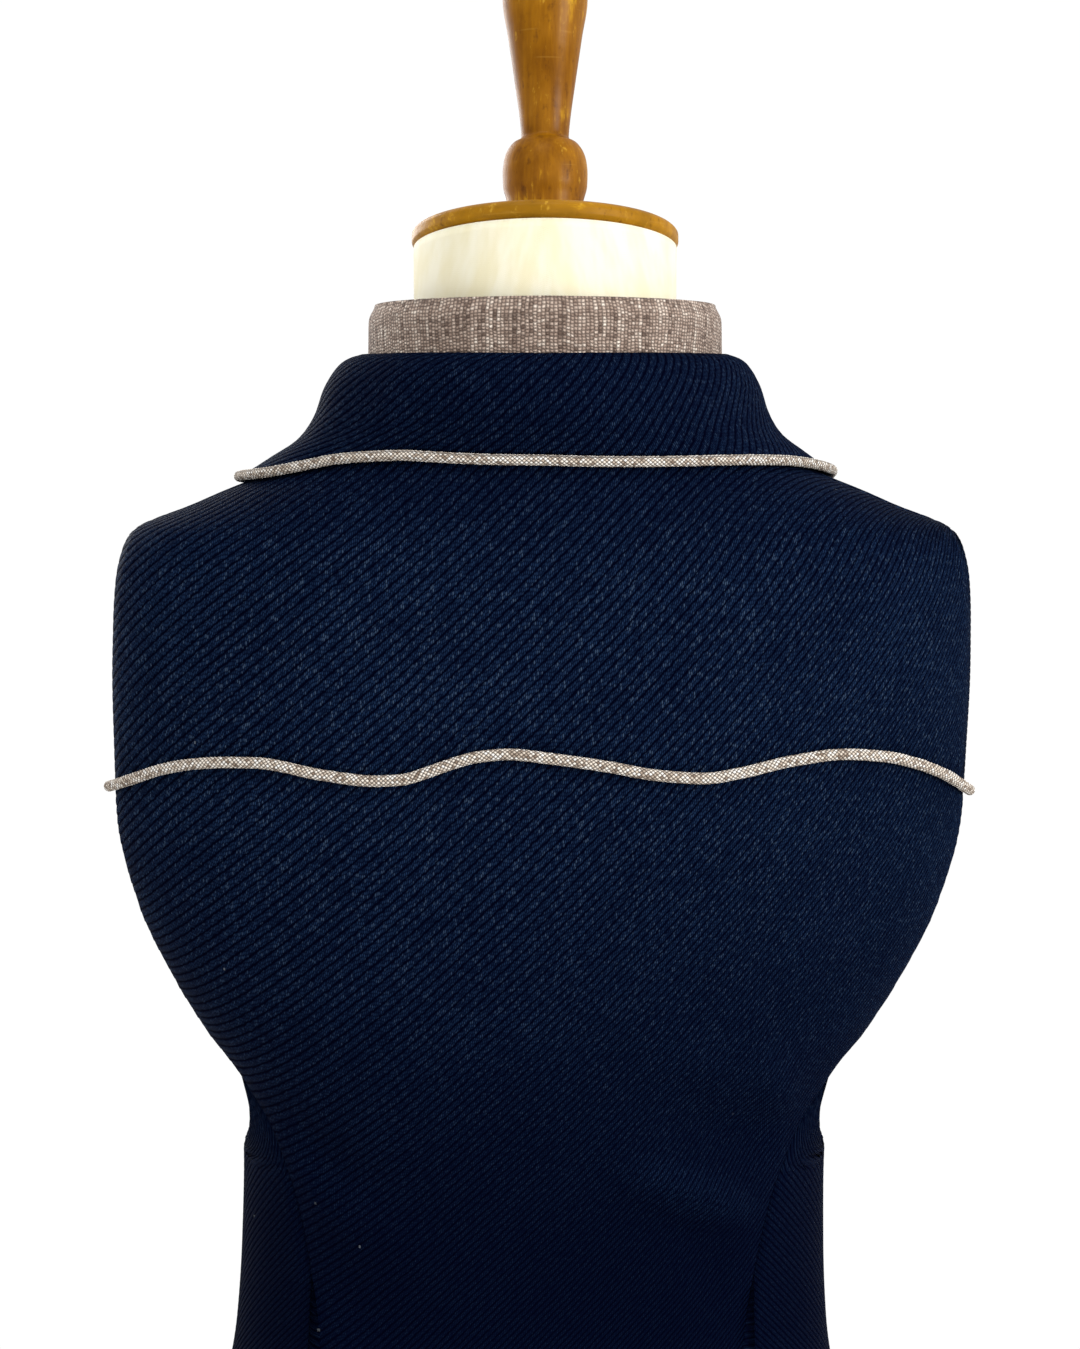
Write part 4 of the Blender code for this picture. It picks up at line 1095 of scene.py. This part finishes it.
def front_grids(side):
    """Grids of a front: the strip between the side-back seam and the armhole, and the rest."""

    def seam(z):
        return read(SIDE_BACK_SEAM, "angle", z) - SEAM_TURN

    def neck(z):
        return np.where(z > FRONT_NECK, neckline_angle(z), front_angle(-LAP, z))

    def inner_edge(z):
        over = np.minimum(neck(z), read(SHOULDER_SEAM, "angle", z) - SEAM_TURN)
        return np.where(z > SHOULDER_TIP, over, neck(z))

    def outer_edge(z):
        edge = np.where(z > ARMHOLE_FOOT, read(ARMHOLE, "front", z), ARMHOLE[0].back)
        shoulder = read(SHOULDER_SEAM, "angle", z) - SEAM_TURN
        return np.where(z >= SHOULDER_TIP, shoulder, edge)

    low = np.linspace(HEM, ARMHOLE_FOOT, FOOT_ROWS)
    prong = np.linspace(ARMHOLE_FOOT, SIDE_SEAM_TOP, 30)[1:]
    main = np.concatenate([
        np.linspace(ARMHOLE_FOOT, SHOULDER_FOOT, 80)[1:],
        np.linspace(SHOULDER_FOOT, SHOULDER_TIP, 14)[1:],
        np.linspace(SHOULDER_TIP, NECK_POINT, 40)[1:],
    ])
    strip_z = np.concatenate([low, prong])[:, None]
    armhole = np.minimum(read(ARMHOLE, "back", strip_z), seam(strip_z))
    strip_end = np.where(strip_z > ARMHOLE_FOOT, armhole, ARMHOLE[0].back)
    strip = seam(strip_z) + (strip_end - seam(strip_z)) * np.linspace(0.0, 1.0, 13)[None, :]
    main_z = np.concatenate([low, main])[:, None]
    shares = 1.0 - (1.0 - np.linspace(0.0, 1.0, 41)) ** 1.15
    body = outer_edge(main_z) + (inner_edge(main_z) - outer_edge(main_z)) * shares[None, :]
    grids = []
    for angles, heights in ((strip, strip_z), (body, main_z)):
        heights = np.broadcast_to(heights, angles.shape)
        points, normals = body_point(angles, heights), body_normal(angles, heights)
        arc = cut = front_arc(angles)
        lift = fold_heights(FRONT_FOLDS, points[..., 0], heights) * (angles < 10.0)
        lift = lift + edge_roll(heights - HEM, HEM_ROLL)
        if angles is strip:
            lift = lift + edge_roll(arc - arc[:, :1], SIDE_ROLL)
            cut = arc[np.minimum(np.arange(len(arc)), FOOT_ROWS - 1)]
        if side < 0.0:
            share = np.clip((DIP_START - points[..., 0]) / (DIP_START - DIP_END), 0.0, 1.0)
            lift = lift - (WALL + SEAM_GAP) * smooth_step(share)
        points = points + normals * lift[..., None]
        mirror = np.array([side, 1.0, 1.0])
        points, normals = points * mirror, normals * mirror
        across = -arc * side
        ribs = rib_number(np.zeros_like(arc), heights + cut * FRONT_RIB_SLOPE)
        rises = np.maximum(np.diff(ribs, axis=0), lengths_between(points) / WIDEST_RIB)
        ribs = ribs[:1] + so_far(rises)
        if side > 0.0:
            points, normals, across, ribs = (a[:, ::-1] for a in (points, normals, across, ribs))
        grids.append(Grid(points, normals, across, heights, ribs, FOOT_ROWS - 1))
    return grids


def front_arc(angles):
    """Metres round the body at the chest, from the side-back towards the middle of the front."""
    turns = np.linspace(60.0, -110.0, 341)
    ring = body_point(turns, np.full_like(turns, CHEST))
    return np.interp(-angles, -turns, so_far(lengths_between(ring)))


def round_neck(count):
    """Angles from one end of the collar over the middle of the back to the other."""
    return np.linspace(BAND_END, 180.0 - BAND_END, count)


def from_middle(across, row):
    """Metres from the middle column of a grid, measured along one of its rows."""
    return np.broadcast_to(across[row] - across[row][-1] / 2.0, across.shape)


def collar_grid(columns, rows):
    """Grid of the turned-down collar, from its piped edge up to its fold."""
    points = fall_point(round_neck(columns + 1)[None, :], np.linspace(1.0, 0.0, rows + 1)[:, None])
    normals = grid_normals(points)
    across, upward = grid_lengths(points)
    w = from_middle(across, len(across) // 2)
    roll = edge_roll(upward[-1:] - upward, FOLD_ROLL, ROLL_REACH)
    points = points + normals * roll[..., None]
    along = upward - upward[-1:] + COLLAR_FOLD
    return Grid(points, normals, w, along, rib_number(w, along))


def band_grid(columns, rows):
    """Grid of the standing band, from the neckline up to its rounded top."""
    rises = np.linspace(0.0, 1.0, rows + 1)[:, None]
    points = band_point(*np.broadcast_arrays(round_neck(columns + 1)[None, :], rises))
    normals = grid_normals(points)
    across, upward = grid_lengths(points)
    roll = edge_roll(upward[-1:] - upward, BAND_ROLL, ROLL_REACH)
    points = points + normals * roll[..., None]
    return Grid(points, normals, from_middle(across, -1), upward, upward)


def plain_faces(grid):
    """Vertices and faces of a grid as it is."""
    ids = np.arange(grid.rib.size).reshape(grid.rib.shape)
    return grid_values(grid).reshape(-1, 9), quads_between(ids)


def ribbed_panel(name, grids, material):
    return raise_ribs(closed_wall(name, *welded([laid_on_ribs(grid) for grid in grids])), material)


def line_object(name, points):
    """Curve through a line of points."""
    data = bpy.data.curves.new(name, "CURVE")
    data.dimensions = "3D"
    line = data.splines.new("POLY")
    line.points.add(len(points) - 1)
    spots = np.c_[leaned(points), np.ones(len(points))]
    line.points.foreach_set("co", spots.astype(np.float32).ravel())
    return in_scene(name, data)


def piping(name, points, radius, material):
    """Round cord along a line, with the relief of its bias-cut cover."""
    sizes = {"Radius": radius, "Ring spacing": CORD_RINGS, "Relief": CORD_RELIEF}
    sizes.update({"Cell": BIAS_CELL, "Cells round": BIAS_CELLS_ROUND})
    nodes, inputs = new_tree("cover_of_" + name, list(sizes))
    line = nodes.node(
        "GeometryNodeResampleCurve", {"mode": "LENGTH"},
        {"Curve": inputs["Geometry"], "Length": inputs["Ring spacing"]},
    )
    line = nodes.keep(line, "length", nodes.node("GeometryNodeSplineParameter", output=1))
    ring = nodes.node(
        "GeometryNodeCurvePrimitiveCircle", {"mode": "RADIUS"},
        {"Resolution": CORD_SIDES, "Radius": inputs["Radius"]},
    )
    ring = nodes.keep(ring, "turn", nodes.node("GeometryNodeSplineParameter", output=0))
    tube = nodes.node(
        "GeometryNodeCurveToMesh", None, {"Curve": line, "Profile Curve": ring, "Fill Caps": True}
    )
    along, around = nodes.stored("length"), nodes.stored("turn")
    tube = nodes.keep(tube, "cloth", nodes.joined(along, around), "FLOAT2", "CORNER")
    first = along / inputs["Cell"] + around * inputs["Cells round"]
    second = along / inputs["Cell"] - around * inputs["Cells round"]
    diamond = nodes.arch(first, 2.0) * nodes.arch(second, 2.0)
    luck = nodes.chance(nodes.whole(first), nodes.whole(second))
    amount = (diamond * (0.4 + luck) - 0.5) * inputs["Relief"]
    end_tree(nodes, nodes.raised(tube, amount), material)
    return grown(line_object(name, points), nodes, sizes, material)


def yoke_piping_line():
    """Middle of the cord that stands out of the yoke seam."""
    start = float(read(ARMHOLE, "back", YOKE_END)) + SEAM_TURN
    angles = np.linspace(180.0 - start, start, 240)
    heights = yoke_height(angles)
    points, normals = body_point(angles, heights), body_normal(angles, heights)
    return points + normals * (YOKE_CORD + REST_GAP)


def collar_piping_line():
    """Middle of the cord along the collar's edge."""
    angles = round_neck(361)
    edge = fall_point(angles, 1.0)
    beyond = edge - fall_point(angles, FALL_SHAPE[-2].way)
    outward = way_out(edge)[0]
    along = unit(fall_point(angles + 1.0, 1.0) - fall_point(angles - 1.0, 1.0))
    beyond = beyond - outward * (beyond * outward).sum(-1, keepdims=True)
    beyond = beyond - along * (beyond * along).sum(-1, keepdims=True)
    return edge + unit(beyond) * (COLLAR_CORD + REST_GAP)


def turned_profile(profile, steps):
    """Height and radius along a turned piece's outline, eased between its points."""
    heights = np.array([row.height for row in profile])
    radii = np.array([row.radius for row in profile])
    lengths = so_far(np.hypot(np.diff(heights), np.diff(radii)))
    rows = table("length height radius", *zip(lengths, heights, radii))
    places = np.concatenate([
        np.linspace(start, end, steps, endpoint=False) for start, end in zip(lengths, lengths[1:])
    ] + [lengths[-1:]])
    return read(rows, "height", places), read(rows, "radius", places)


def turned(name, profile, material, segments, place=Matrix(), steps=4):
    """Solid turned about its own axis."""
    heights, radii = turned_profile(profile, steps)
    angles = np.linspace(0.0, 2.0 * math.pi, segments, endpoint=False)
    rings = [
        np.c_[radius * np.cos(angles), radius * np.sin(angles), np.full(segments, height)]
        for radius, height in zip(radii[1:-1], heights[1:-1])
    ]
    points = np.concatenate([[[0.0, 0.0, heights[0]]], *rings, [[0.0, 0.0, heights[-1]]]])
    last = len(points) - 1
    faces = []
    for column in range(segments):
        after = (column + 1) % segments
        faces.append((0, 1 + column, 1 + after))
        for base in range(1, last - segments, segments):
            upper = base + segments
            faces.append((base + column, upper + column, upper + after, base + after))
        base = last - segments
        faces.append((base + column, last, base + after))
    data = bpy.data.meshes.new(name)
    data.from_pydata(points.tolist(), [], faces)
    data.transform(place)
    data.shade_smooth()
    data.materials.append(material)
    return in_scene(name, data)


def form_torso(material):
    """Limbless padded torso and neck under a jersey cover."""
    columns = 120
    turns = np.linspace(0.0, 360.0, columns + 1)
    angles = np.where(turns <= 180.0, turns, turns - 360.0)

    def body_ring(z, tuck=0.0, height=None):
        depth = np.where(angles >= 0.0, read(FORM_ROOM, "back", z), read(FORM_ROOM, "front", z))
        room = depth + (read(FORM_ROOM, "side", z) - depth) * np.cos(np.radians(angles)) ** 2
        ring = body_point(angles, z) - body_normal(angles, z) * (room + tuck)[:, None]
        if height is not None:
            ring[:, 2] = height
        return ring

    def neck_ring(rise):
        y = NECK_CENTRE_Y + read(NECK_RINGS, "depth", rise) * np.sin(np.radians(turns))
        slope = (y - NECK_CENTRE_Y) * math.tan(math.radians(CAP_TILT))
        z = NECK_TOP + rise + slope * read(NECK_RINGS, "tilt", rise)
        x = read(NECK_RINGS, "half_width", rise) * np.cos(np.radians(turns))
        return np.stack([x, y, z], axis=-1)

    foot = FORM_FOOT + FORM_EDGE_TOP
    rings = [body_ring(foot, row.tuck, FORM_FOOT + row.rise) for row in FORM_EDGE]
    rings += [body_ring(z) for z in np.arange(foot, SHOULDER_FOOT, SIDE_RING_RISE)]
    rings += [body_ring(z) for z in np.arange(SHOULDER_FOOT, NECK_FOOT, SHOULDER_RING_RISE)]
    rings += [neck_ring(rise) for rise in np.linspace(NECK_RINGS[0].rise, -REST_GAP, 26)]
    points = np.stack(rings)
    across, upward = grid_lengths(points)
    waist = across[len(across) // 3]
    grid = Grid(points, points, np.broadcast_to(waist, across.shape), upward, upward)
    vertices, faces = welded([plain_faces(grid)])
    data = bpy.data.meshes.new("torso_cover")
    data.from_pydata(leaned(vertices[:, :3]).tolist(), [], faces)
    map_cloth(data, vertices[:, 6:8])
    close_ends(data)
    data.shade_smooth()
    data.materials.append(material)
    return in_scene("torso_cover", data)


def close_ends(data):
    """Closes a tube's two open ends."""
    shape = bmesh.new()
    shape.from_mesh(data)
    bmesh.ops.holes_fill(shape, edges=shape.edges)
    bmesh.ops.recalc_face_normals(shape, faces=shape.faces)
    shape.to_mesh(data)
    shape.free()


def front_buttons(horn):
    """Four-hole buttons down the left front, on the middle of the lap."""
    button = turned("button", BUTTON, horn, 48, steps=3)
    corners = [(x, y, 0.0) for x in (-HOLE_OFFSET, HOLE_OFFSET) for y in (-HOLE_OFFSET, HOLE_OFFSET)]
    drills = [turned("drill", DRILL, horn, 16, Matrix.Translation(spot), 1) for spot in corners]
    for drill in drills:
        cut = button.modifiers.new("hole", "BOOLEAN")
        cut.operation = "DIFFERENCE"
        cut.object = drill
        cut.solver = "EXACT"
    graph = bpy.context.evaluated_depsgraph_get()
    shape = bpy.data.meshes.new_from_object(button.evaluated_get(graph))
    bpy.data.objects.remove(button)
    for drill in drills:
        bpy.data.objects.remove(drill)
    made = []
    for index in range(BUTTON_COUNT):
        z = BUTTON_FOOT + index * BUTTON_PITCH
        normal = Vector(body_normal(-90.0, z))
        turn = normal.to_track_quat("Z", "Y").to_matrix().to_4x4()
        middle = Vector(leaned(body_point(-90.0, z) + np.array(normal) * BUTTON_GAP))
        data = shape.copy()
        data.transform(Matrix.Translation(middle) @ turn)
        made.append(in_scene("horn_button_%d" % (index + 1), data))
    return made


def light(name, place, aim, size, energy):
    """Round lamp that points at a place."""
    data = bpy.data.lights.new(name, "AREA")
    data.shape = "DISK"
    data.size = size
    data.energy = energy
    item = in_scene(name, data)
    item.location = place
    item.rotation_euler = (Vector(aim) - Vector(place)).to_track_quat("-Z", "Y").to_euler()


def studio():
    """Soft light from the camera's right, a white surround and a round pale floor."""
    scene = bpy.context.scene
    scene.view_settings.view_transform = "Standard"
    scene.view_settings.look = "None"
    world = bpy.data.worlds.new("white_surround")
    world.use_nodes = True
    scene.world = world
    background = world.node_tree.nodes["Background"]
    background.inputs["Color"].default_value = (1.0, 1.0, 1.0, 1.0)
    background.inputs["Strength"].default_value = SURROUND
    for lamp in LIGHTS:
        light(*lamp)
    turned("floor", FLOOR, pale_floor(), 128, steps=2)


def camera():
    """Camera of the photograph, a little above the shoulders and turned down."""
    data = bpy.data.cameras.new("camera")
    data.sensor_width = SENSOR
    data.lens = SENSOR * FOCUS_PIXELS / PHOTO_PIXELS
    item = in_scene("camera", data)
    heading = Matrix.Rotation(math.radians(180.0), 4, "Z")
    pitch = Matrix.Rotation(math.radians(90.0 - CAMERA_PITCH), 4, "X")
    item.matrix_world = Matrix.Translation(CAMERA_PLACE) @ heading @ pitch
    bpy.context.scene.camera = item


def dress():
    """Makes every piece, hangs it under the root and hides the parts of the model that it takes the
    place of.
    """
    navy, taupe, bias = navy_ribs(), taupe_weave(), bias_weave()
    jersey, horn = cream_jersey(), dark_horn()
    turned_wood = stained_wood("turned_wood", (1.0, 1.0, 0.12), 0.02)
    board_wood = stained_wood("board_wood", (0.12, 1.0, 1.0), 0.20)

    def settle(item, slot, *nodes):
        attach(item, "root")
        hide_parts(*nodes)
        return item

    def panel(name, node, *grids):
        return settle(ribbed_panel(name, grids, navy), "navy_cloth", node)

    yoke = panel("yoke_cloth", "back_yoke", back_yoke_grid())
    back = panel("back_cloth", "back_body", back_body_grid())
    left = panel("left_front_cloth", "left_front", *front_grids(1.0))
    right = panel("right_front_cloth", "right_front", *front_grids(-1.0))
    collar = panel("collar_cloth", "collar_fall", collar_grid(180, 60))
    band_cloth = closed_wall("band_cloth", *welded([plain_faces(band_grid(220, 44))]))
    band_cloth.data.materials.append(taupe)
    band_cloth = settle(band_cloth, "taupe_cloth", "collar_stand")
    yoke_cord = piping("yoke_cord", yoke_piping_line(), YOKE_CORD, bias)
    settle(yoke_cord, "taupe_cloth", "yoke_piping")
    collar_cord = piping("collar_cord", collar_piping_line(), COLLAR_CORD, bias)
    settle(collar_cord, "taupe_cloth", "collar_piping")

    torso = settle(form_torso(jersey), "cream_jersey", "form_torso")
    tilt = Matrix.Rotation(math.radians(CAP_TILT), 4, "X")
    neck_top = Matrix.Translation((0.0, NECK_CENTRE_Y, NECK_TOP)) @ tilt
    above_cap = Matrix.Translation((0.0, 0.0, CAP_THICK + REST_GAP))
    on_base = Matrix.Translation((0.0, 0.0, BASE_THICK + REST_GAP))
    wood = "stained_wood"
    settle(turned("cap_wood", CAP, board_wood, 128, neck_top), wood, "neck_cap")
    settle(turned("finial_wood", FINIAL, turned_wood, 72, neck_top @ above_cap, 6), wood, "finial")
    settle(turned("post_wood", POST, turned_wood, 64, on_base), wood, "stand_post")
    settle(turned("base_wood", BASE, board_wood, 128), wood, "stand_base")
    for index, button in enumerate(front_buttons(horn)):
        settle(button, "button_horn", "button_%d" % (index + 1))


camera()
studio()
dress()
